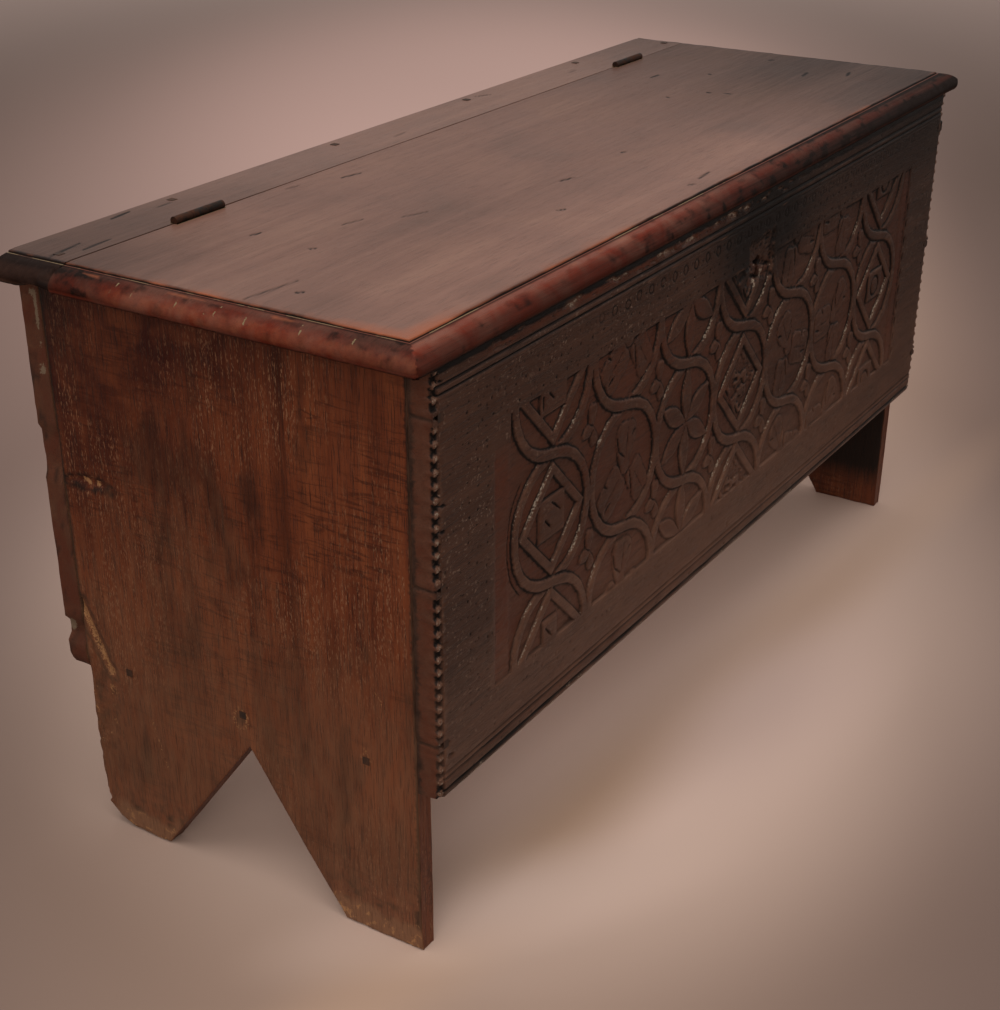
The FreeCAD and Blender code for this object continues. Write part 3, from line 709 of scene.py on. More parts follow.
def spandrel(dx, dz):
    """A bud of three lobes between four rings."""
    raised = leaf(dx, dz, 3, 12, 12, 7, 78, 3, 0.14)
    raised = np.maximum(raised, leaf(dx, dz, -7, -3, 8.5, 6.5, 15, 3, 0.12))
    raised = np.maximum(raised, leaf(dx, dz, 5, -11, 11, 6.5, -68, 3, 0.12))
    cuts = gouges(dx, dz, (-3, 4, 4, 0, 3), (-2, -10, 3, -4, 3))
    return 0.7 * raised * (1 - 0.7 * np.clip(1.5 * cuts, 0, 1))


def keyhole_distance(x, z):
    """Signed distance to the keyhole's outline, below zero inside."""
    cx, cz, radius, half, foot = KEYHOLE
    round_part = np.hypot(x - cx, z - cz) - radius
    slot = np.maximum(np.abs(x - cx) - half, np.maximum(foot - z, z - cz))
    return np.minimum(round_part, slot)


def strip_lines(z, at, width, sink):
    return sink * smooth(width / 2, 0, np.abs(z - at))


def front_relief(xs, zs):
    """Depth below the board's face and the four masks, over grid lines."""
    x, z = np.meshgrid(xs, zs)
    wander = 0.7 * fbm(x / 40, z / 40, 3, 3)
    cx, cz = x + wander, z + 0.7 * fbm(x / 40, z / 40, 8, 3)
    raised = np.zeros_like(x)
    for centre, motif in zip(RING_X, MOTIFS):
        cols = np.abs(xs - centre) < 74
        dx = cx[:, cols] - centre
        part = rings(dx, cz[:, cols])
        for row, level in enumerate(ROW_Z):
            dz = cz[:, cols] - level
            within = smooth(1.02, 0.95, reach_of(dx, dz, row))
            part = np.maximum(part, motif(dx, dz, row) * within)
        raised[:, cols] = np.maximum(raised[:, cols], part)
    for left, right in zip(RING_X, RING_X[1:]):
        cols = np.abs(xs - (left + right) / 2) < 25
        for level in SPANDREL_Z:
            part = spandrel(cx[:, cols] - (left + right) / 2, cz[:, cols] - level)
            raised[:, cols] = np.maximum(raised[:, cols], part)
    field = smooth(FIELD_X[0] - 2.5, FIELD_X[0] + 3.5, cx) * smooth(FIELD_X[1] + 1.6, FIELD_X[1] - 1.6, cx)
    field = field * smooth(FIELD_Z[0] - 0.8, FIELD_Z[0] + 0.8, cz)
    field = field * smooth(FIELD_Z[1] + 0.8, FIELD_Z[1] - 0.8, cz)
    field = field * (1 - smooth(CORNER_X + 2, CORNER_X - 6, x) * smooth(CORNER_Z - 12, CORNER_Z + 8, z))
    margin = smooth(-476, -486, x) + smooth(472, 482, x)
    ground = field * (1 - raised)
    tooled = 0.34 * fbm(x / 5, z / 3, 21, 3) + 0.3 * fbm(x / 16, z / 7, 22, 2)
    depth = ground * (SINK * (1 - 0.45 * margin) + tooled)
    depth = depth + 0.22 + 0.18 * fbm(x / 90, z / 30, 31, 3) + 0.09 * fbm(x / 12, z / 2.5, 33, 3)

    # Struck line beside the first ring, and the row of gouges down the right of the field.
    dx, dz = x - RING_X[0], z - ROW_Z[1]
    struck = smooth(1.7, 0.3, np.abs(np.hypot(dx, dz) - 78)) * smooth(-50, -58, dx) * field
    depth = depth + 1.2 * struck
    for level in np.arange(272, 492, 22):
        depth = depth + 1.6 * np.clip(1.5 * gouge(x, z, 499, level - 6, 500, level + 6, 5), 0, 1)

    # Run mouldings along the top and the bottom.
    for level, width, sink in GROOVES:
        depth = depth + strip_lines(z, level, width, sink)
    depth = depth + strip_lines(z, 192.5, 6.4 + 1.6 * fbm(x / 30, z * 0, 45, 3), 3.2)
    top_round = smooth(594, 600, z)
    torn = smooth(0.0, 0.35, fbm(x / 14, z / 4, 41, 3)) * smooth(585, 591, z) * smooth(597, 594, z)
    torn = torn * smooth(-540, -480, x) * smooth(170, 60, x)
    depth = depth + 1.3 * top_round + 2.4 * torn + 1.6 * smooth(190, 186, z)

    # Punched dots and rings in rows, set a little unevenly.
    rng = np.random.default_rng(7)
    punched = np.zeros_like(x)
    punched += 0.5 * smooth(0.42, 0.62, fbm(x / 3.2, z / 3.2, 47, 2)) * (1 - field)
    # Pale specks off the field, partly dust and partly painted glints.
    dusty_glint_specks = smooth(0.3, 0.5, fbm(x / 3.0, z / 2.4, 48, 2)) * smooth(250, -100, x) * (1 - field)

    def punch(px, pz, radius, sink, ring=False):
        reach = radius + 2
        i = slice(*np.searchsorted(zs, (pz - reach, pz + reach)))
        j = slice(*np.searchsorted(xs, (px - reach, px + reach)))
        away = np.hypot(x[i, j] - px, z[i, j] - pz)
        shape = smooth(1.5, 0.2, np.abs(away - radius)) if ring else smooth(radius, radius * 0.2, away)
        punched[i, j] = np.maximum(punched[i, j], sink * shape)

    for px in np.arange(-545, 560, 24.6):
        fade = float(smooth(-420, -270, px) * (1 - 0.6 * smooth(90, 200, px)))
        punch(px + rng.normal(0, 1.2), 562 + rng.normal(0, 0.8), 4.6, 0.75 * fade, ring=True)
        punch(px + 12 + rng.normal(0, 1.5), 563 + rng.normal(0, 1.0), 2.0, 0.6)
    for row, pitch in ((548, 19.0), (531, 20.5)):
        for px in np.arange(-550, 300, pitch):
            punch(px + rng.normal(0, 1.6), row + rng.normal(0, 1.4), 2.0, 0.85)
    for px, shift in ((-549, 0), (-536, 9), (-520, 4)):
        for pz in np.arange(262 + shift, 566, 18.5):
            punch(px + rng.normal(0, 1.5), pz + rng.normal(0, 1.5), 1.9, 0.75)
    for px in np.arange(-500, 480, 26.0):
        punch(px + rng.normal(0, 2), 243 + rng.normal(0, 2), 2.3, 0.5)
        punch(px + 13 + rng.normal(0, 2), 231 + rng.normal(0, 2), 1.8, 0.4)
    for _ in range(110):
        punch(rng.uniform(-555, 250), rng.uniform(526, 569), 1.5, 0.5)
    depth = depth + punched

    # Strings of beads worked down both arrises.
    beads, knob_wear_and_glint = np.zeros_like(x), np.zeros_like(x)
    for side in (-1, 1):
        inset = HALF_LENGTH - side * x
        centre = np.round((z - BEAD_FOOT) / BEAD_PITCH) * BEAD_PITCH + BEAD_FOOT
        reach = np.hypot((inset - 3.9) * 0.9, z - centre) / 4.3
        knob = np.sqrt(np.clip(1 - reach**2, 0, 1))
        nailed = sum(smooth(8.5, 5.5, np.abs(z - level)) for level in NAIL_Z)
        trough = smooth(9.0, 6.2, inset) * smooth(596, 592, z) * (1 - nailed)
        beads = beads + trough * (3.8 - 3.5 * knob)
        # The knob tops: lighter, partly from wear and partly a painted highlight.
        knob_wear_and_glint = knob_wear_and_glint + smooth(0.35, 0.85, knob) * (inset < 12) * (1 - nailed)
    depth = depth + beads

    # Splits at the nails, and old pits in the left stile.
    for pz in NAIL_Z:
        for side in (-1, 1):
            split = gouge(x, z, side * HALF_LENGTH, pz + 2, side * 584, pz - 1, 4.5)
            depth = depth + 2.4 * np.clip(1.6 * split, 0, 1)
    for px, pz in ((-590, 588), (-588, 478), (-589, 454), (-583, 228)):
        depth = depth + 1.8 * np.clip(1.5 * gouge(x, z, px - 4, pz, px + 4, pz - 1, 5), 0, 1)

    # The torn place about the keyhole, where a plate once sat.
    ragged = fbm(x / 9, z / 9, 51, 3) * 7
    dent = smooth(2, -5, np.maximum(np.abs(x - 36) - 31, np.abs(z - 523) - 26) + ragged)
    gashes = ((20, 524, 64, 511, 8), (8, 512, 36, 503, 7))
    gash = sum(np.clip(1.5 * gouge(x, z, *cut), 0, 1) for cut in gashes)
    depth = depth * (1 - 0.6 * dent) + dent * (3.4 + 1.2 * fbm(x / 6, z / 3, 52, 3)) + 2.2 * gash
    around = smooth(16, 0, keyhole_distance(x, z))
    depth = depth + 1.2 * around

    # Wear on what stands proud, and dirt with painted shade in what lies low.
    near, wide = blur(depth, 2), blur(depth, 5)
    patchy = 0.5 + 0.5 * smooth(-0.3, 0.4, fbm(x / 20, z / 20, 55, 3))
    wear = (np.clip((near - depth) * 0.5, 0, 0.5) + np.clip((wide - depth) * 0.05, 0, 0.1)) * patchy
    # Darker at the foot of each wall and in the punched marks: dirt, and painted shade where the walls shadow
    # the ground.
    dirt = np.clip((depth - blur(depth, 1) - 0.12) * 2.2, 0, 0.9) + 0.3 * np.clip(punched, 0, 1)
    wear = np.maximum(wear, 0.8 * torn)
    wear = wear * (1 - smooth(592, 594, np.abs(x))) + knob_wear_and_glint
    # Painted shade in the bead troughs, none on the knob tops.
    dirt = dirt * (1 - np.clip(knob_wear_and_glint, 0, 1)) + 0.42 * smooth(1.5, 3.4, beads)
    # Darker along the grooves of the run mouldings.
    for level, reach, share in GROOVE_DARKENING:
        dirt = dirt + share * smooth(reach, reach * 0.4, np.abs(z - level))
    lip = smooth(1.4, 0.4, np.abs(z - 572)) * smooth(0.0, 0.3, fbm(x / 22, x * 0, 63, 3)) * smooth(200, 20, x)
    wear = wear + 0.6 * lip + 0.35 * smooth(190, 187, z) * smooth(-0.1, 0.35, fbm(x / 40, z * 0, 58, 3))
    # Painted highlight: walls facing up and to the left are made lighter, with glints among them.
    up, across = np.gradient(depth, zs, xs)
    lit_ledge = np.clip((up - across) * 0.8 - 0.3, 0, 1) * field
    glint = lit_ledge * smooth(-0.4, 0.15, fbm(x / 30, z / 30, 59, 3))
    wear = np.maximum(wear, 0.35 * lit_ledge) * (1 - 0.7 * smooth(194, 189, z))
    # Painted shade on walls facing down.
    dirt = dirt + 0.5 * np.clip(-0.8 * up - 0.25, 0, 1) * field
    # Painted shade: the right of the board darker, less so near its foot.
    dirt = dirt + 0.2 * smooth(100, 560, x) * smooth(190, 420, z)
    # Painted shadow with dirt along the top edge under the lid's overhang, and painted shade over the upper
    # right.
    top_edge_dirt_and_shadow = smooth(592.5, 595, z + 1.5 * fbm(x / 9, x * 0, 60, 3))
    dirt = dirt + 0.36 * smooth(-170, 0, x) * smooth(470, 560, z) + 0.9 * top_edge_dirt_and_shadow * (1 - torn)
    rubbed = 0.5 * smooth(420, 230, z) - 0.26 * smooth(207, 198, z)
    wear = wear + rubbed * (0.7 + 0.3 * smooth(-500, -100, x) * smooth(520, 200, x))
    soot = smooth(150, 30, np.hypot((x - 36) * 0.8, (z - 545) * 1.2))
    dirt = dirt + 0.42 * soot * (1 - dent) + 0.34 * smooth(-400, -560, x) * smooth(226, 204, z)
    fresh = dent * smooth(0.0, 0.3, fbm(x / 7, z / 5, 53, 3)) * smooth(531, 524, z)
    fresh = fresh * (1 - np.clip(gash, 0, 1))
    upper_red = smooth(120, -20, x) * smooth(-560, -470, x) * smooth(584, 590, z)
    inner = smooth(-480, -470, x) * smooth(474, 464, x)
    rosy = smooth(0.0, 0.35, fbm(x / 28, z / 30, 67, 3))
    rosy = rosy * smooth(440, 380, np.abs(x + 10)) * smooth(250, 300, z)
    redden = ground * (0.6 + 0.3 * margin) + (0.12 + 0.4 * rosy) * field * inner * (1 - ground)
    redden = np.clip(redden + 0.95 * upper_red + 0.3 * smooth(235, 200, z), 0, 1)
    redden = redden * (1 - 0.6 * smooth(-120, 80, x) * smooth(440, 180, x))
    fresh = fresh * smooth(53, 44, x)
    # Bare wood where torn, and painted glints along the lit ledges.
    bare_and_glint = np.maximum(0.5 * fresh, 0.4 * glint)
    chipped = smooth(194, 189, z) * smooth(0.05, 0.3, fbm(x / 16, z / 6, 68, 3))
    bare_and_glint, wear = np.maximum(bare_and_glint, 0.36 * chipped), wear + 0.5 * fresh
    # Painted glints on the knob tops, and bare wood where torn.
    bare_and_glint = np.maximum(np.maximum(bare_and_glint, 0.42 * torn), 0.34 * knob_wear_and_glint)
    # Painted glints, partly dust, at the specks.
    bare_and_glint = np.maximum(bare_and_glint, 0.3 * dusty_glint_specks)
    masks = np.stack([wear, dirt, redden, bare_and_glint], axis=-1)
    return depth, beads, masks


def make_front():
    low, high = node_box("front_board")
    fine = 1.5
    edge = 1.1
    near_end = HALF_LENGTH - 10
    xs = lines(
        (-HALF_LENGTH, -near_end, edge), (-near_end, -512, 1.9), (-512, 502, fine),
        (502, near_end, 2.6), (near_end, HALF_LENGTH, edge),
    )
    zs = lines((186, 196, 1.1), (196, 256, 2.2), (256, 526, fine), (526, 568, 1.6), (568, 600, 1.1))
    depth, beads, masks = front_relief(xs, zs)
    x, z = np.meshgrid(xs, zs)
    uneven = 0.25 * (1 + fbm(z / 14, x * 0, 61)) * (np.abs(x) > HALF_LENGTH - 0.1)
    turned = 0.5 * beads * smooth(592, HALF_LENGTH, np.abs(x)) + uneven
    x = x - np.sign(x) * turned
    z = z - 0.25 * (1 + fbm(x / 14, z * 0, 62)) * (zs > 599.9)[:, None]
    cell_x, cell_z = ((g[:-1, :-1] + g[1:, 1:]) / 2 for g in (x, z))
    keep = keyhole_distance(cell_x, cell_z) > 0
    index = np.arange(x.size).reshape(x.shape)
    faces = grid_faces(index)[keep.ravel()]

    # Vertices on the hole's border are drawn onto its true outline.
    cells = np.pad(keep, 1, constant_values=True)
    shut = [cells[:-1, :-1], cells[:-1, 1:], cells[1:, :-1], cells[1:, 1:]]
    border = ~np.all(shut, axis=0) & np.any(shut, axis=0)
    for _ in range(3):
        away = keyhole_distance(x[border], z[border])
        gx = (keyhole_distance(x[border] + 0.05, z[border]) - away) / 0.05
        gz = (keyhole_distance(x[border], z[border] + 0.05) - away) / 0.05
        x[border] -= away * gx
        z[border] -= away * gz

    verts = [np.stack([x, low[1] + depth, z], axis=-1).reshape(-1, 3)]
    mask_list = [masks.reshape(-1, 4)]
    count = x.size
    rim = rim_of(index)
    rim_spots = verts[0][rim]
    ring = rim
    walls = []
    layers = 9
    for k in range(1, layers + 1):
        f = k / layers
        spot = rim_spots.copy()
        spot[:, 1] = rim_spots[:, 1] * (1 - f) + high[1] * f
        fade = np.exp(-4 * f)
        at_end = np.abs(np.abs(spot[:, 0]) - HALF_LENGTH) < 4
        side = np.sign(spot[:, 0])
        crack = sum(np.exp(-(((spot[:, 2] - pz) / 1.6) ** 2)) for pz in NAIL_Z)
        sunk = 0.3 * (1 + fbm(spot[:, 2] / 7, spot[:, 1] / 9, 64)) + 1.8 * crack * (1 - 0.4 * f)
        target = side * (HALF_LENGTH - sunk)
        spot[:, 0] = np.where(at_end, spot[:, 0] * fade + target * (1 - fade), spot[:, 0])
        rows = np.zeros((len(rim), 4))
        rows[:, DIRT_AND_SHADE] = np.clip(0.8 * crack + (f > 0.85), 0, 1) * at_end
        rows[:, WEAR_AND_HIGHLIGHT] = 0.35 * at_end
        rows[:, GROUND] = 1.0 * at_end
        nxt = count + np.arange(len(rim))
        verts.append(spot)
        mask_list.append(rows)
        walls.append(wall_faces(ring, nxt))
        ring = nxt
        count += len(rim)

    # Walls of the keyhole, from the front to the back.
    edges = {}
    on_border = border.ravel()
    for f in faces:
        for a, b in zip(f, np.roll(f, -1)):
            if on_border[a] and on_border[b]:
                edges[(a, b)] = True
    loop_next = {b: a for a, b in edges if (b, a) not in edges}
    start = next(iter(loop_next))
    loop = [start]
    while loop_next[loop[-1]] != start:
        loop.append(loop_next[loop[-1]])
    loop = np.array(loop)
    hole = verts[0][loop].copy()
    hole[:, 1] = high[1]
    far = count + np.arange(len(loop))
    verts.append(hole)
    hole_mask = np.zeros((len(loop), 4))
    hole_mask[:, DIRT_AND_SHADE] = 1
    mask_list.append(hole_mask)
    walls.append(wall_faces(loop, far))
    all_verts = np.concatenate(verts)

    # The back, flat, between the outer edge and the keyhole.
    flat = [Vector(all_verts[k][[0, 2]]) for k in np.concatenate([ring, far])]
    loops = [list(range(len(ring))), list(range(len(ring), len(ring) + len(far)))]
    pairs = [(a, b) for part in loops for a, b in zip(part, part[1:] + part[:1])]
    made, _, tris, source, _, _ = delaunay_2d_cdt(flat, pairs, [], 2, 1e-6)
    names = np.concatenate([ring, far])
    back = []
    for t in tris:
        c = sum((made[k] for k in t), Vector((0, 0))) / 3
        if keyhole_distance(np.array(c.x), np.array(c.y)) > 0:
            back.append([int(names[min(source[k])]) for k in t][::-1])
    everything = faces.tolist() + np.concatenate(walls).tolist() + back
    piece = new_piece("carved_front", all_verts, everything, np.concatenate(mask_list), front_oak)
    thin_out(piece, 190000)
    return piece


carved_front = make_front()
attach(carved_front, "carcase")
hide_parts("front_board")


# ---------------------------------------------------------------- lid

LID_LOW, LID_HIGH = node_box("lid_board")
REAR_LOW, REAR_HIGH = node_box("rear_lid_board")
LID_THICK = 24.0
MOULD = 26.0                 # width of the moulding
QUIRK = 4.0                  # width of the level groove beside the plateau
STEP = 2.5                   # its depth
TIGHT = 9.0                  # radius of the tighter arc
UNDER = 7.0                  # radius of the arc under the nose
CORNER = 9                   # radius of the lid's corners in plan
SHORT_CRACK = 16


def thumb_profile():
    """Inset from the nose and drop below the top, from the plateau's edge out to the nose."""
    start, fall = MOULD - QUIRK, LID_THICK - UNDER
    run, drop = start - TIGHT, fall - STEP
    wide = (run**2 + drop**2 - TIGHT**2) / (2 * (drop - TIGHT))
    meet = math.asin(run / (wide - TIGHT))
    points = [(MOULD, 0.0), (MOULD - 0.5, 0.5), (MOULD - 0.8, STEP - 0.4)]
    points += [(MOULD - inset, STEP) for inset in (1.3, 2.0, 2.6, 3.3)]
    for a in np.linspace(0, meet, 10):
        points.append((start - wide * math.sin(a), STEP + wide * (1 - math.cos(a))))
    for a in np.linspace(meet, math.pi / 2, 6)[1:]:
        points.append((TIGHT * (1 - math.sin(a)), fall - TIGHT * math.cos(a)))
    return np.array(points)


PROFILE = thumb_profile()
BELOW = np.array([
    (UNDER * (1 - math.cos(a)), LID_THICK - UNDER + UNDER * math.sin(a)) for a in np.radians((25, 50, 72, 90))
])

# Old cracks and dents in the top, each from one end to the other, with a width.
CRACKS = (
    (-331, -6, -297, -18, 3.0), (-229, -121, -219, -126, 2.6), (-76, -186, -68, -191, 3.4),
    (-563, -60, -556, -68, 3.0), (-457, 6, -452, 2, 2.6), (-602, -35, -535, -43, 1.6),
    (276, 22, 281, 16, 3.0), (328, -8, 331, -16, 2.8), (334, -26, 338, -42, 2.6),
    (428, 39, 432, 33, 3.4), (-453, 77, -439, 74, 2.8), (-384, 27, -352, 20, 1.8),
    (556, 9, 561, 4, 2.4), (-310, 150, -290, 148, 2.6), (-602, 186, -556, 193, 2.4),
    (-570, 176, -530, 179, 2.2), (-430, 214, -404, 216, 2.4), (-70, 186, -44, 188, 2.0),
    (338, 196, 362, 197, 2.0),
)


def lid_shape(xs_in, ys_in, box_low, box_high, front, name, material, seed, broken=None):
    """A board with its thumb moulding on the left and right ends and, if front, along the front."""
    inset = PROFILE[::-1, 0]
    drop_of = lambda d: np.interp(d, PROFILE[::-1, 0], PROFILE[::-1, 1])
    left = box_low[0] + inset
    right = box_high[0] - inset[::-1]
    xs = np.concatenate([left, xs_in, right])
    ys = np.concatenate([box_low[1] + inset, ys_in]) if front else ys_in
    x, y = np.meshgrid(xs, ys)
    from_side = np.minimum(x - box_low[0], box_high[0] - x)
    from_front = y - box_low[1] if front else np.full_like(y, 99.0)
    d = np.minimum(from_side, from_front)
    z = box_high[2] - drop_of(d)
    plateau = smooth(MOULD - 1, MOULD + 3, d)
    level = 0.45 + 0.45 * fbm(x / 260, y / 90, seed, 3)
    rounding = 0.8 * smooth(MOULD + 7, MOULD - 0.5, d) * smooth(MOULD - 1.5, MOULD - 0.4, d)
    rounding = rounding * (1 + 0.8 * fbm(x / 18, y / 18, seed + 3, 3))
    along = np.where(from_side < from_front, y, x)
    wavy = 0.5 + 0.5 * fbm(along / 70, along * 0 + 2, seed + 4, 3)
    bump = 0.25 * (1 + fbm(along / 7, d / 6, seed + 6, 3))
    mould = smooth(MOULD - QUIRK + 1, MOULD - QUIRK - 3, d)
    z = z - plateau * level - rounding - mould * (0.35 * wavy + bump * 0.8)
    z = np.minimum(z, box_high[2])

    # Plan: soft corners and a nose that isn't quite straight.
    a, b = np.clip(CORNER - from_side, 0, None), np.clip(CORNER - from_front, 0, None)
    r = np.hypot(a, b)
    pull = np.where((a > 0) & (b > 0) & (r > CORNER), CORNER / np.maximum(r, 1e-6), 1.0)
    outwards = np.sign(x - (box_low[0] + box_high[0]) / 2)
    x = x - outwards * (a * (1 - pull))
    y = y + b * (1 - pull)
    nose = smooth(12, 0, d) * (0.6 + 0.35 * fbm(along / 45, along * 0 + 7, seed + 8, 3))
    x = np.where(from_side <= from_front, x - outwards * nose, x)
    y = np.where(from_front < from_side, y + nose, y)

    patch = smooth(-0.25, 0.35, fbm(along / 55, along * 0 + 5, seed + 9, 3))
    near_corner = 0.45 + 0.55 * smooth(100, -520, x) * front
    edge_wear = smooth(3.0, 0, np.abs(d - MOULD - 0.8)) * (d > MOULD - 0.6) * (0.35 + 0.65 * patch)
    glow = smooth(MOULD + 24, MOULD + 1, d) * (d > MOULD - 0.6) * (0.4 + 0.6 * patch)
    # The crest of the roll is lighter: partly rubbed, partly a painted highlight.
    crest_rub_and_highlight = smooth(4.5, 0, np.abs(d - 17)) * smooth(0.0, 0.4, fbm(along / 24, d / 9, seed + 10, 3))
    wear = (0.7 * edge_wear + 0.42 * glow + 0.5 * crest_rub_and_highlight) * near_corner
    tip = smooth(120, 20, np.hypot(x - box_low[0] - MOULD, y - box_low[1] - MOULD)) * front
    wear = wear + 0.5 * tip * smooth(MOULD + 30, MOULD + 2, d) * (d > MOULD - 0.6)
    dirt = smooth(1.6, 0.5, np.abs(d - (MOULD - 0.9))) + 0.6 * smooth(1.3, 0.4, np.abs(d - (MOULD - QUIRK)))
    # Painted shade on the plateau: on the lid darker towards the right and the back, on the rear strip
    # towards both ends.
    if front:
        plateau_shade = 0.05 + 0.13 * smooth(-190, -60, y) + 0.3 * smooth(-400, -620, x) * smooth(20, 150, y)
        plateau_shade = plateau_shade + 0.42 * smooth(20, 600, x)
        plateau_shade = plateau_shade + smooth(100, 400, x) * (0.14 * smooth(-100, -200, y) - 0.12 * smooth(-60, 100, y))
    else:
        plateau_shade = 0.05 + 0.42 * smooth(-180, -640, x) + 0.3 * smooth(260, 620, x)
    at_side = from_side < from_front
    at_left = at_side * (x < 0)
    # Painted shade on the moulding: darker on the sides, low on the roll, towards the back and towards the
    # right.
    shade = 0.1 + 0.2 * at_side + 0.46 * smooth(16, 3, d) * (1 - at_left) + 0.14 * smooth(60, 200, y)
    shade = shade + (0.18 * smooth(-350, 150, x) + 0.12 * smooth(150, 560, x)) * (1 + smooth(8, 15, d))
    shade = shade + 0.32 * smooth(-250, 250, x) * smooth(16, 20, d)
    # The lower roll of the left moulding is lighter: partly wear, partly painted light.
    wear = wear + 0.26 * mould * at_left * smooth(13, 4, d) * smooth(200, 60, y)
    # More painted shade on the left moulding: towards the back, the front corner and high on the roll.
    left_side_shade = 0.2 * smooth(50, 130, y) + 0.16 * smooth(6, 14, d) + 0.16 * smooth(-110, -190, y)
    shade = shade + at_left * left_side_shade
    mottled = 0.22 * smooth(0.08, 0.55, fbm(along / 12, d / 7, seed + 12, 4))
    dirt = dirt + plateau * plateau_shade + mould * (shade + mottled - 0.1)
    on_edge = smooth(MOULD + 5, MOULD + 1, d) * (d > MOULD - 0.6) * front * (1 - at_side)
    dirt = dirt + 0.34 * on_edge * smooth(-100, -450, x)
    pale = smooth(1.0, 0.4, np.abs(d - (MOULD - 2.3)))
    pale = pale * smooth(-0.4, 0.1, fbm(along / 26, along * 0, seed + 13, 3))
    pale = pale * (0.25 + 0.75 * smooth(150, -250, x))
    knocks = np.random.default_rng(seed + 1)
    for at in knocks.uniform(-220, 130, 9) if front else ():
        tilt, reach = knocks.uniform(-0.3, 0.3), knocks.uniform(5, 9)
        scratch = smooth(1.3, 0.4, np.abs(y - at - tilt * d)) * smooth(reach, reach - 3, np.abs(d - 10))
        pale = np.maximum(pale, 0.8 * scratch * (x < 0) * (from_side < from_front))
    dent_at, dents = np.random.default_rng(seed), np.zeros_like(d)
    for _ in range(7 if front else 2):
        mx, my = dent_at.uniform(-560, 560), dent_at.uniform(ys[0] + 40, ys[-1] - 8)
        long, slope = dent_at.uniform(6, 34), dent_at.uniform(-0.35, 0.35)
        start, end = (mx - long / 2, my - slope * long), (mx + long / 2, my + slope * long)
        dents = np.maximum(dents, 0.5 * gouge(x, y, *start, *end, 5.0))
    for x0, y0, x1, y1, width in CRACKS:
        share = 0.55 if math.hypot(x1 - x0, y1 - y0) < SHORT_CRACK else 0.3
        dents = np.maximum(dents, share * gouge(x, y, x0, y0, x1, y1, max(1.8 * width, 5.0)))
    z = z - 0.8 * np.clip(dents * 1.5, 0, 1) * plateau
    dirt = dirt + 0.75 * np.clip(dents * 2, 0, 1) * plateau
    # Less red high on the roll, from d 12 to 16 and on towards the quirk: a painted highlight, which also
    # raises the specular there.
    ground = smooth(MOULD - 0.5, MOULD - 3, d) * (1 - 0.22 * smooth(12, 16, d))
    masks = np.stack([wear, dirt, ground, 0.7 * pale], axis=-1)
    if broken is not None:
        x, y, z, masks = broken(x, y, z, masks, d)

    index = np.arange(x.size).reshape(x.shape)
    quads = grid_faces(index)
    # The cells on the two mitres are split along the mitre. The value says if it is the right one.
    span = len(xs) - 1
    cell_of = {}
    for i in range(len(inset) - 1 if front else 0):
        cell_of[i * span + i] = False
        cell_of[i * span + span - 1 - i] = True
    faces = []
    for n, q in enumerate(quads.tolist()):
        if n not in cell_of:
            faces.append(q)
        elif cell_of[n]:
            faces += [[q[0], q[1], q[3]], [q[1], q[2], q[3]]]
        else:
            faces += [[q[0], q[1], q[2]], [q[0], q[2], q[3]]]
    verts = [np.stack([x, y, z], axis=-1).reshape(-1, 3)]
    mask_list = [masks.reshape(-1, 4)]
    rim = rim_of(index)
    count, ring = x.size, rim
    base = verts[0][rim]
    ends_at = [np.abs(base[:, 0] - box_low[0]) < 4, np.abs(base[:, 0] - box_high[0]) < 4]
    at_front = (base[:, 1] - box_low[1] < 4) if front else np.zeros(len(rim), bool)
    walls = []
    run = base[:, 0] + base[:, 1]
    chips = smooth(0.18, 0.5, fbm(run / 8, run * 0, seed + 21, 3))
    for k, (inset_k, drop_k) in enumerate(BELOW):
        spot = base.copy()
        grow = inset_k + 1.6 * chips * (k in (1, 2))
        spot[:, 0] += np.where(ends_at[0], grow, 0) - np.where(ends_at[1], grow, 0)
        spot[:, 1] += np.where(at_front, grow, 0)
        moulded = ends_at[0] | ends_at[1] | at_front
        plain = base[:, 2] + (box_low[2] - base[:, 2]) * (k + 1) / len(BELOW)
        spot[:, 2] = np.where(moulded, box_high[2] - drop_k * (box_high[2] - box_low[2]) / LID_THICK, plain)
        rows = np.zeros((len(rim), 4))
        rows[:, WEAR_AND_HIGHLIGHT] = 0.3 * chips
        # Painted shade under the nose, deepening row by row towards the underside, less at the left end.
        rows[:, DIRT_AND_SHADE] = np.where(moulded, np.where(ends_at[0], 0.15 + 0.35 * k, 0.55 + 0.35 * k), 0.25)
        rows[:, GROUND] = moulded
        if broken is not None:
            spot, rows = broken.below(spot, rows, k)
        nxt = count + np.arange(len(rim))
        verts.append(spot)
        mask_list.append(rows)
        walls.append(wall_faces(ring, nxt))
        ring, count = nxt, count + len(rim)
    middle = (box_low + box_high) / 2
    spot = middle + (spot - middle) * np.array([1 - 9 / 615, 0.96, 1.0])
    verts.append(spot)
    mask_list.append(np.tile([0.2, 0.36, 0.3, 0.0], (len(rim), 1)))
    nxt = count + np.arange(len(rim))
    walls.append(wall_faces(ring, nxt))
    everything = faces + np.concatenate(walls).tolist() + [nxt[::-1].tolist()]
    return new_piece(name, np.concatenate(verts), everything, np.concatenate(mask_list), material, 40)


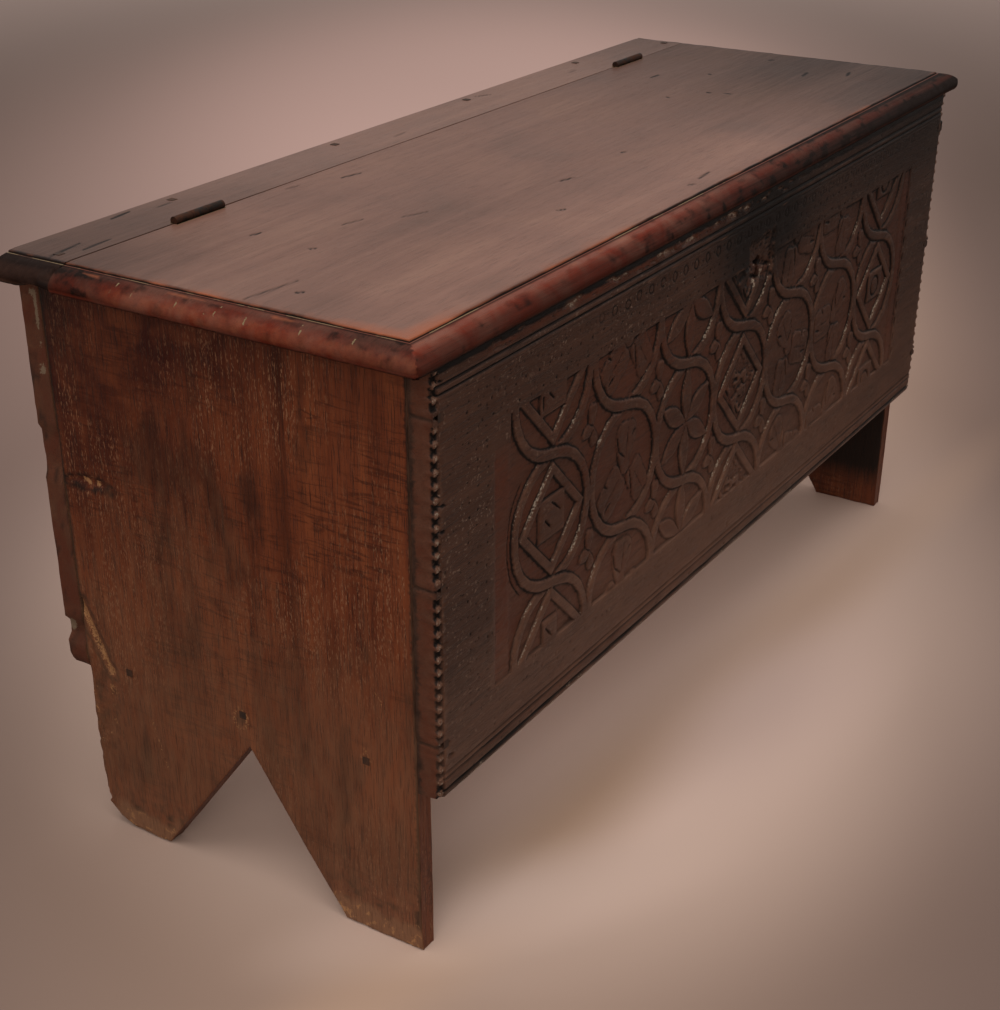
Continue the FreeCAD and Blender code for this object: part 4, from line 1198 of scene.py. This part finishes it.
class BrokenEnd:
    """The rear board's left end, where the moulding has broken away from below near the joint."""

    start, end, reach = REAR_LOW[1], REAR_LOW[1] + 46.0, 26.0

    def share(self, x, y):
        near = smooth(self.end, self.start + 6, y)
        return near * smooth(REAR_LOW[0] + self.reach + 6, REAR_LOW[0] + self.reach - 4, x)

    def __call__(self, x, y, z, masks, d):
        tip = smooth(self.start + 16, self.start, y) * smooth(REAR_LOW[0] + 22, REAR_LOW[0], x)
        z = z - 5.5 * tip
        x = x + 6.5 * tip
        at_least(masks, DIRT_AND_SHADE, 0.7 * tip)
        masks[..., WEAR_AND_HIGHLIGHT] = masks[..., WEAR_AND_HIGHLIGHT] * (1 - tip)
        return x, y, z, masks

    def below(self, spot, rows, k):
        s = self.share(spot[:, 0], spot[:, 1])
        lift = s * (9.5 + 2.0 * fbm(spot[:, 1] / 5, spot[:, 1] * 0, 91, 3)) * (k + 1) / len(BELOW)
        spot[:, 2] += lift
        spot[:, 0] += s * 5.0 * (k + 1)
        at_least(rows, WEAR_AND_HIGHLIGHT, 0.6 * s)
        at_least(rows, BARE_AND_GLINT, 0.3 * s * (k < 2))
        return spot, rows


coarse = 3.6
plateau_x = np.linspace(LID_LOW[0] + MOULD, LID_HIGH[0] - MOULD, int(1208 / coarse))[1:-1]
lid_ys = np.linspace(LID_LOW[1] + MOULD, LID_HIGH[1], int(370 / (0.65 * coarse)))[1:]
rear_ys = np.linspace(REAR_LOW[1], REAR_HIGH[1], int(70 / (0.65 * coarse)) + 1)

moulded_lid = lid_shape(plateau_x, lid_ys, LID_LOW, LID_HIGH, True, "moulded_lid", lid_oak, 101)
rear_strip = lid_shape(
    plateau_x, rear_ys, REAR_LOW, REAR_HIGH, False, "rear_lid_strip", strip_oak, 131, BrokenEnd()
)

# Recesses for the hinges: a slot for each leaf and a wider one for the barrel.
JOINT_Y = 163.0
BARREL_REACH, BARREL_FLOOR = 4.8, 621.4
lid_cuts, rear_cuts = [], []
for side in ("left", "right"):
    for leaf_name, cuts, sign in (("lid_leaf", lid_cuts, -1), ("fixed_leaf", rear_cuts, 1)):
        low, high = node_box(f"{side}_hinge_{leaf_name}")
        span = sorted((JOINT_Y + sign * 2.3, JOINT_Y - sign * 2.0))
        cuts.append(((low[0] - 0.1, span[0], low[2] - 0.1), (high[0] + 0.1, span[1], 640)))
        barrel_low = (low[0] - 0.5, JOINT_Y - BARREL_REACH, BARREL_FLOOR)
        cuts.append((barrel_low, (high[0] + 0.5, JOINT_Y + BARREL_REACH, 641)))
cut_with(moulded_lid, lid_cuts, 40)
cut_with(rear_strip, rear_cuts, 40)
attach(moulded_lid, "lid")
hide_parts("lid_board")
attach(rear_strip, "carcase")
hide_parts("rear_lid_board")


# ---------------------------------------------------------------- end boards

FOOT_FRONT, FOOT_BACK = -110.0, 121.0    # the notch's corners on the floor
APEX = (-2.0, 165.0)
OUTLINE_STEP = 4.0


def end_outline(low, high, worn_foot, seed):
    corners = [
        (low[1], 0.0), (FOOT_FRONT, 0.0), APEX, (FOOT_BACK, 0.0),
        (high[1], 0.0), (high[1], high[2]), (low[1], high[2]),
    ]
    if worn_foot:
        corners[4:5] = [(166.0, 0.0), (190.0, 9.0), (204.0, 24.0), (high[1], 70.0)]
    outline = trace(corners, OUTLINE_STEP)
    u, v = outline[:, 0], outline[:, 1]
    run = np.arange(len(outline)) * OUTLINE_STEP
    near_floor = smooth(60, 0, v) + worn_foot * smooth(150, 90, v) * (u > 120)
    crumbled = near_floor * 1.1 * (1 + 1.3 * fbm(run / 8, run * 0, seed + 1, 3))
    rough = 0.35 * (1 + fbm(run / 20, run * 0, seed, 3)) + crumbled
    inwards = np.sign((low[1] + high[1]) / 2 - u) * (np.abs(u) > 204)
    on_floor = v < 0.5
    notch = (np.abs(u) < 122) & ~on_floor & (v < 170)
    shift = np.zeros_like(outline)
    shift[:, 0] = inwards * rough * (v < 590)
    shift[:, 0] += np.where(notch, np.sign(u - APEX[0]) * rough * 0.5, 0)
    shift[:, 1] += np.where(on_floor, 0.45 * rough, 0)
    return outline + shift


# Old knocks on the left end board, in its Y and Z.
SCRATCHES = ((126, 150, 112, 100), (-157, 280, -166, 262), (196, 104, 208, 102))
PLUGS = ((6, 195, 8.5), (-144, 204, 5.0))


def knocks_on_end(u, v, depth, masks):
    """The split, the chip, the torn foot, the scratches and the plugs of the worn end."""
    split, _ = to_segment(u, v, 208, 268, 176, 192)
    depth = depth + 3.2 * smooth(7, 0, split)
    at_least(masks, BARE_AND_GLINT, 0.46 * smooth(8, 3, split))
    at_least(masks, DIRT_AND_SHADE, 0.6 * smooth(3, 1, np.abs(split - 9)))
    chip = np.hypot((u - 174) / 25, (v - 404) / 8) + 0.7 * fbm(u / 8, v / 4, 212, 3)
    depth = depth + 2.6 * smooth(1.1, 0.4, chip)
    at_least(masks, BARE_AND_GLINT, 0.7 * smooth(0.8, 0.2, chip) * smooth(-0.3, 0.3, fbm(u / 6, v / 3, 213, 2)))
    at_least(masks, DIRT_AND_SHADE, 0.6 * smooth(1.5, 1.0, chip) * smooth(0.6, 0.9, chip))
    tear = np.hypot((u - 190) / 22, (v - 150) / 62) + 0.5 * fbm(u / 14, v / 14, 215, 3)
    depth = depth + smooth(1.2, 0.6, tear) * (1.6 + 1.6 * fbm(u / 6, v / 9, 217, 3))
    at_least(masks, DIRT_AND_SHADE, 0.55 * smooth(1.2, 0.6, tear) * smooth(-0.1, 0.3, fbm(u / 9, v / 14, 218, 3)))
    at_least(masks, BARE_AND_GLINT, 0.36 * smooth(1.2, 0.8, tear) * smooth(0.1, 0.35, fbm(u / 5, v / 8, 219, 3)))
    for ends in SCRATCHES:
        scratch, _ = to_segment(u, v, *ends)
        at_least(masks, BARE_AND_GLINT, 0.35 * smooth(3.5, 1, scratch))
        depth = depth + 0.8 * smooth(4, 0, scratch)
    for u0, v0, size in PLUGS:
        plug = np.hypot(u - u0, (v - v0) * 0.8)
        at_least(masks, BARE_AND_GLINT, 0.34 * smooth(5, 1, np.abs(plug - size)))
        at_least(masks, DIRT_AND_SHADE, 0.5 * smooth(size - 1, size - 4, plug))
    return depth


def end_board(name, node, outer_sign, worn):
    """One end board. u is the part's Y and v its Z."""
    low, high = node_box(node)
    thick = high[0] - low[0]
    outer = low[0] if outer_sign < 0 else high[0]
    seed = 201 if outer_sign < 0 else 301
    outline = end_outline(low, high, worn, seed)

    def place(u, v, depth):
        return np.stack([outer - outer_sign * depth, u + 0 * depth, v + 0 * depth], axis=-1)

    def relief(u, v):
        depth = 0.3 + 0.28 * fbm(u / 60, v / 160, seed + 3, 3) + 0.08 * fbm(u / 4, v / 60, seed + 4, 2)
        feet = smooth(70, 0, v)
        depth = depth + feet * 0.6 * (1 + fbm(u / 12, v / 12, seed + 6, 3))
        crumbs = smooth(46, 10, v + 16 * fbm(u / 16, v / 16, seed + 17, 3))
        depth = depth + 0.9 * crumbs * (0.6 + fbm(u / 6, v / 5, seed + 18, 3))
        masks = np.zeros((len(u), 4))
        masks[:, WEAR_AND_HIGHLIGHT] = 0.8 * smooth(34, 8, v + 14 * fbm(u / 20, v / 20, seed + 7, 3))
        # Lighter towards the bottom; the patch about u 60, v 430 is a painted sheen.
        masks[:, WEAR_AND_HIGHLIGHT] += 0.44 * smooth(500, 160, v)
        masks[:, WEAR_AND_HIGHLIGHT] += 0.16 * smooth(150, 40, np.hypot(u - 60, (v - 430) * 0.8))
        masks[:, DIRT_AND_SHADE] = 0.3 * smooth(0.25, 0.5, fbm(u / 30, v / 90, seed + 8, 4))
        masks[:, DIRT_AND_SHADE] += 0.8 * smooth(-0.05, 0.3, fbm(u / 9, v / 7, seed + 11, 3)) * smooth(70, 24, v)
        top_back = smooth(150, 190, u) * smooth(480, 560, v)
        masks[:, DIRT_AND_SHADE] += 0.3 * top_back + 0.22 * smooth(200, 90, v) * smooth(60, 20, np.abs(v - 100))
        masks[:, BARE_AND_GLINT] = 0.5 * crumbs * smooth(0.0, 0.25, fbm(u / 6, v / 4, seed + 19, 4))
        at_least(masks, DIRT_AND_SHADE, 0.9 * smooth(-198, -201, u) + 0.8 * smooth(203, 207, u) * smooth(190, 200, v))
        masks[:, GROUND] = 0.95 * smooth(400, 700, v + 0.9 * u)
        masks[:, GROUND] += 0.4 * smooth(0.1, 0.45, fbm(u / 70, v / 150, seed + 9, 3))
        if worn:
            depth = knocks_on_end(u, v, depth, masks)
        return depth, masks

    def under(u, v):
        depth = 0.3 + 0.3 * fbm(u / 50, v / 120, seed + 13, 3)
        masks = np.zeros((len(u), 4))
        masks[:, WEAR_AND_HIGHLIGHT] = (0.7 if worn else 0.15) * smooth(44, 10, v + 12 * fbm(u / 14, v / 10, seed + 14, 3))
        # The right board's inner face gets painted shade, darker upwards under the chest.
        masks[:, DIRT_AND_SHADE] = 0.0 if worn else 0.24 + 0.5 * smooth(16, 70, v)
        return depth, masks

    return plank(name, outline, thick, place, relief, under, end_oak, OUTLINE_STEP, 1.3, seed)


left_end = end_board("left_end", "left_end_board", -1, True)
right_end = end_board("right_end", "right_end_board", 1, False)
for piece, node in ((left_end, "left_end_board"), (right_end, "right_end_board")):
    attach(piece, "carcase")
    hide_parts(node)


# ---------------------------------------------------------------- back board


BACK_NOTCH_Z = 228


def make_back():
    low, high = node_box("back_board")
    corners = [(low[0], low[2]), (high[0], low[2]), (high[0], high[2]), (low[0], high[2])]
    outline = trace(corners, 7.0)
    u, v = outline[:, 0].copy(), outline[:, 1].copy()
    at_left, at_right = smooth(low[0] + 45, low[0], u), smooth(high[0] - 45, high[0], u)
    ragged = 0.5 * (1 + fbm(v / 11, v * 0, 401, 3)) + 3.5 * smooth(0.3, 0.42, fbm(v / 26, v * 0, 403, 2))
    ragged = ragged + 6 * smooth(14, 6, np.abs(v - BACK_NOTCH_Z))
    outline[:, 0] += ragged * at_left - 0.4 * ragged * at_right
    outline[:, 0] += 6 * smooth(low[2] + 12, low[2], v) * at_left
    on_low = v < low[2] + 0.1
    outline[:, 1] += np.where(on_low, 0.6 * (1 + fbm(u / 40, u * 0, 405, 3)), 0)

    def place(u, v, depth):
        return np.stack([u + 0 * depth, high[1] - depth, v + 0 * depth], axis=-1)

    def relief(u, v):
        depth = 0.5 + 0.5 * fbm(u / 130, v / 22, 411, 4)
        masks = np.zeros((len(u), 4))
        masks[:, DIRT_AND_SHADE] = 0.24 * smooth(0.0, 0.6, fbm(u / 150, v / 24, 413, 4))
        masks[:, WEAR_AND_HIGHLIGHT] = 0.35 * smooth(0.1, 0.6, fbm(u / 110, v / 14, 415, 4))
        return depth, masks

    def under(u, v):
        return 0.4 + 0.3 * fbm(u / 90, v / 25, 421, 3), np.zeros((len(u), 4))

    def edge(u, v, depth):
        masks = np.zeros((len(u), 4))
        at_end = np.maximum(smooth(low[0] + 12, low[0] + 6, u), smooth(high[0] - 12, high[0] - 6, u))
        masks[:, GROUND] = at_end
        masks[:, DIRT_AND_SHADE] = 0.5 * smooth(0.1, 0.4, fbm(v / 20, depth / 8, 423, 3))
        sliver = smooth(504, 510, v) * smooth(593, 588, v) * smooth(11, 13, depth) * smooth(23, 21, depth)
        low_sliver = smooth(9, 4, np.abs(v - 233)) * smooth(0.5, 2, depth) * smooth(12, 8, depth)
        sliver = np.maximum(0.8 * sliver, low_sliver)
        masks[:, BARE_AND_GLINT] = 0.85 * sliver * (u < 0) * smooth(-0.5, 0.1, fbm(v / 16, depth / 5, 427, 3))
        return masks

    return plank("rough_back", outline, high[1] - low[1], place, relief, under, back_oak, 9.0, 1.4, 431, edge)


rough_back = make_back()
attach(rough_back, "carcase")
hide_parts("back_board")


# ---------------------------------------------------------------- the CAD pieces that show as they are


def dress(material, *names):
    for name in names:
        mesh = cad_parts[name].data
        mesh.materials.clear()
        mesh.materials.append(material)


dress(inside_oak, "bottom_board")
dress(till_oak, "till_wall", "till_floor")
dress(
    black_iron, "left_hinge_fixed_leaf", "right_hinge_fixed_leaf", "left_hinge_lid_leaf",
    "right_hinge_lid_leaf", "left_hinge_pin", "right_hinge_pin", "fixed_hinge_screws", "lid_hinge_screws",
)
dress(
    nail_iron, "lock_plate", "lock_cover", "lock_bolt_keepers", "lock_bolt", "lid_staple", "lid_staple_nails",
    "lock_plate_nails", "front_board_nails", "back_board_nails", "left_end_nails", "right_end_nails",
    "rear_lid_nails",
)


# ---------------------------------------------------------------- floor, light and camera


FAR_FLOOR = srgb(238, 214, 206)
FLOOR_CORE = 0.25            # the first oval keeps its full tone out to this share of its size

# Soft ovals of tone on the floor: centre, half lengths, turn and colour. The first is the floor at large; the
# others are painted pools of light and painted shadow about the chest. These numbers came out of a
# least-squares fit and weren't chosen by hand.
PAINTED_FLOOR_LIGHT = (
    ((0.0, 0.0), (9.0, 9.0), 0.0, (116, 97, 89)),
    ((1.98, 1.59), (1.48, 2.96), -0.92, (221, 185, 176)),
    ((1.29, 0.64), (0.81, 3.12), -1.16, (251, 213, 186)),
    ((-0.19, -0.01), (0.65, 0.55), 0.73, (254, 224, 210)),
    ((0.22, 0.17), (1.01, 0.86), 0.62, (254, 224, 210)),
    ((-0.21, -0.22), (0.1, 1.41), 1.52, (188, 157, 136)),
    ((0.0, -0.3), (0.35, 0.16), -0.06, (209, 182, 171)),
    ((-0.49, -0.23), (0.31, 0.1), -0.62, (220, 193, 179)),
    ((3.07, 1.87), (1.36, 2.31), -0.95, (226, 191, 182)),
)


def make_floor():
    mesh = bpy.data.meshes.new("floor")
    reach = 14.0
    corners = [(-reach, -reach, 0), (reach, -reach, 0), (reach, reach, 0), (-reach, reach, 0)]
    mesh.from_pydata(corners, [], [(0, 1, 2, 3)])
    floor = bpy.data.objects.new("floor", mesh)
    bpy.context.scene.collection.objects.link(floor)
    material = bpy.data.materials.new("floor_with_painted_light")
    material.use_nodes = True
    tree = material.node_tree
    shader = tree.nodes["Principled BSDF"]
    spot = add_node(tree, "ShaderNodeTexCoord").outputs["Object"]
    colour, core = FAR_FLOOR, FLOOR_CORE
    for centre, size, turn, tone in PAINTED_FLOOR_LIGHT:
        inputs = {"Vector": spot, "Location": (*centre, 0), "Rotation": (0, 0, turn), "Scale": (*size, 1)}
        place = add_node(tree, "ShaderNodeMapping", inputs, vector_type="TEXTURE")
        away = add_node(tree, "ShaderNodeVectorMath", {0: place.outputs[0]}, operation="LENGTH")
        inputs = {"Value": away.outputs["Value"], "From Min": core, "From Max": 1.0}
        inputs.update({"To Min": 1.0, "To Max": 0.0})
        share = add_node(tree, "ShaderNodeMapRange", inputs, interpolation_type="SMOOTHSTEP")
        inputs = {0: share.outputs[0], 6: colour, 7: srgb(*tone)}
        colour, core = add_node(tree, "ShaderNodeMix", inputs, data_type="RGBA").outputs[2], 0.0
    tree.links.new(colour, shader.inputs["Base Color"])
    shader.inputs["Roughness"].default_value = 0.85
    shader.inputs["Specular IOR Level"].default_value = 0.2
    mesh.materials.append(material)
    floor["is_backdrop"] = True


def make_world():
    world = bpy.data.worlds.new("studio")
    bpy.context.scene.world = world
    world.use_nodes = True
    tree = world.node_tree
    tree.nodes.clear()
    path = add_node(tree, "ShaderNodeLightPath").outputs
    rays = {0: path["Is Camera Ray"], 1: path["Is Transmission Ray"]}
    shown = add_node(tree, "ShaderNodeMath", rays, operation="MAXIMUM")
    light = add_node(tree, "ShaderNodeBackground", {"Color": (1.0, 0.93, 0.88, 1), "Strength": 0.46})
    seen = add_node(tree, "ShaderNodeBackground", {"Color": srgb(176, 158, 152), "Strength": 1.0})
    inputs = {0: shown.outputs[0], 1: light.outputs[0], 2: seen.outputs[0]}
    mix = add_node(tree, "ShaderNodeMixShader", inputs)
    add_node(tree, "ShaderNodeOutputWorld", {0: mix.outputs[0]})


def soft_light(name, spot, aim, size, power, colour=(1, 1, 1)):
    data = bpy.data.lights.new(name, "AREA")
    data.shape = "RECTANGLE"
    data.size, data.size_y = size
    data.energy = power
    data.color = colour
    lamp = bpy.data.objects.new(name, data)
    lamp.location = spot
    lamp.rotation_euler = (Vector(aim) - Vector(spot)).to_track_quat("-Z", "Y").to_euler()
    bpy.context.scene.collection.objects.link(lamp)


CAMERA_PLACE = (-1.63219, -0.94029, 1.08085)
CAMERA_YAW, CAMERA_PITCH, CAMERA_ROLL = 1.00873, 0.50084, 0.00108
CAMERA_LENS, CAMERA_SHIFT = 60.831, 0.095


def make_camera():
    data = bpy.data.cameras.new("camera")
    data.sensor_fit = "HORIZONTAL"
    data.sensor_width = 36.0
    data.lens = CAMERA_LENS
    data.shift_y = CAMERA_SHIFT
    data.clip_end = 100
    camera = bpy.data.objects.new("camera", data)
    bpy.context.scene.collection.objects.link(camera)
    level = math.cos(CAMERA_PITCH)
    ahead = Vector((math.sin(CAMERA_YAW) * level, math.cos(CAMERA_YAW) * level, -math.sin(CAMERA_PITCH)))
    right = Vector((math.cos(CAMERA_YAW), -math.sin(CAMERA_YAW), 0))
    up = right.cross(ahead)
    right, up = (
        right * math.cos(CAMERA_ROLL) + up * math.sin(CAMERA_ROLL),
        up * math.cos(CAMERA_ROLL) - right * math.sin(CAMERA_ROLL),
    )
    axes = Matrix((right, up, -ahead)).transposed().to_4x4()
    camera.matrix_world = Matrix.Translation(CAMERA_PLACE) @ axes
    bpy.context.scene.camera = camera


make_floor()
make_world()
MIDDLE = (0, 0, 0.3)
soft_light("key", (-0.5, -0.1, 3.1), MIDDLE, (2.6, 3.0), 54, (1.0, 0.96, 0.92))
soft_light("fill", (-2.9, -1.5, 1.9), MIDDLE, (2.0, 1.6), 26, (1.0, 0.94, 0.88))
make_camera()
bpy.context.scene.view_settings.view_transform = "Standard"

boxes = {"cad": cad_box, "visual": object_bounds()}
{k: [[float(c) for c in corner] for corner in b] for k, b in boxes.items()}
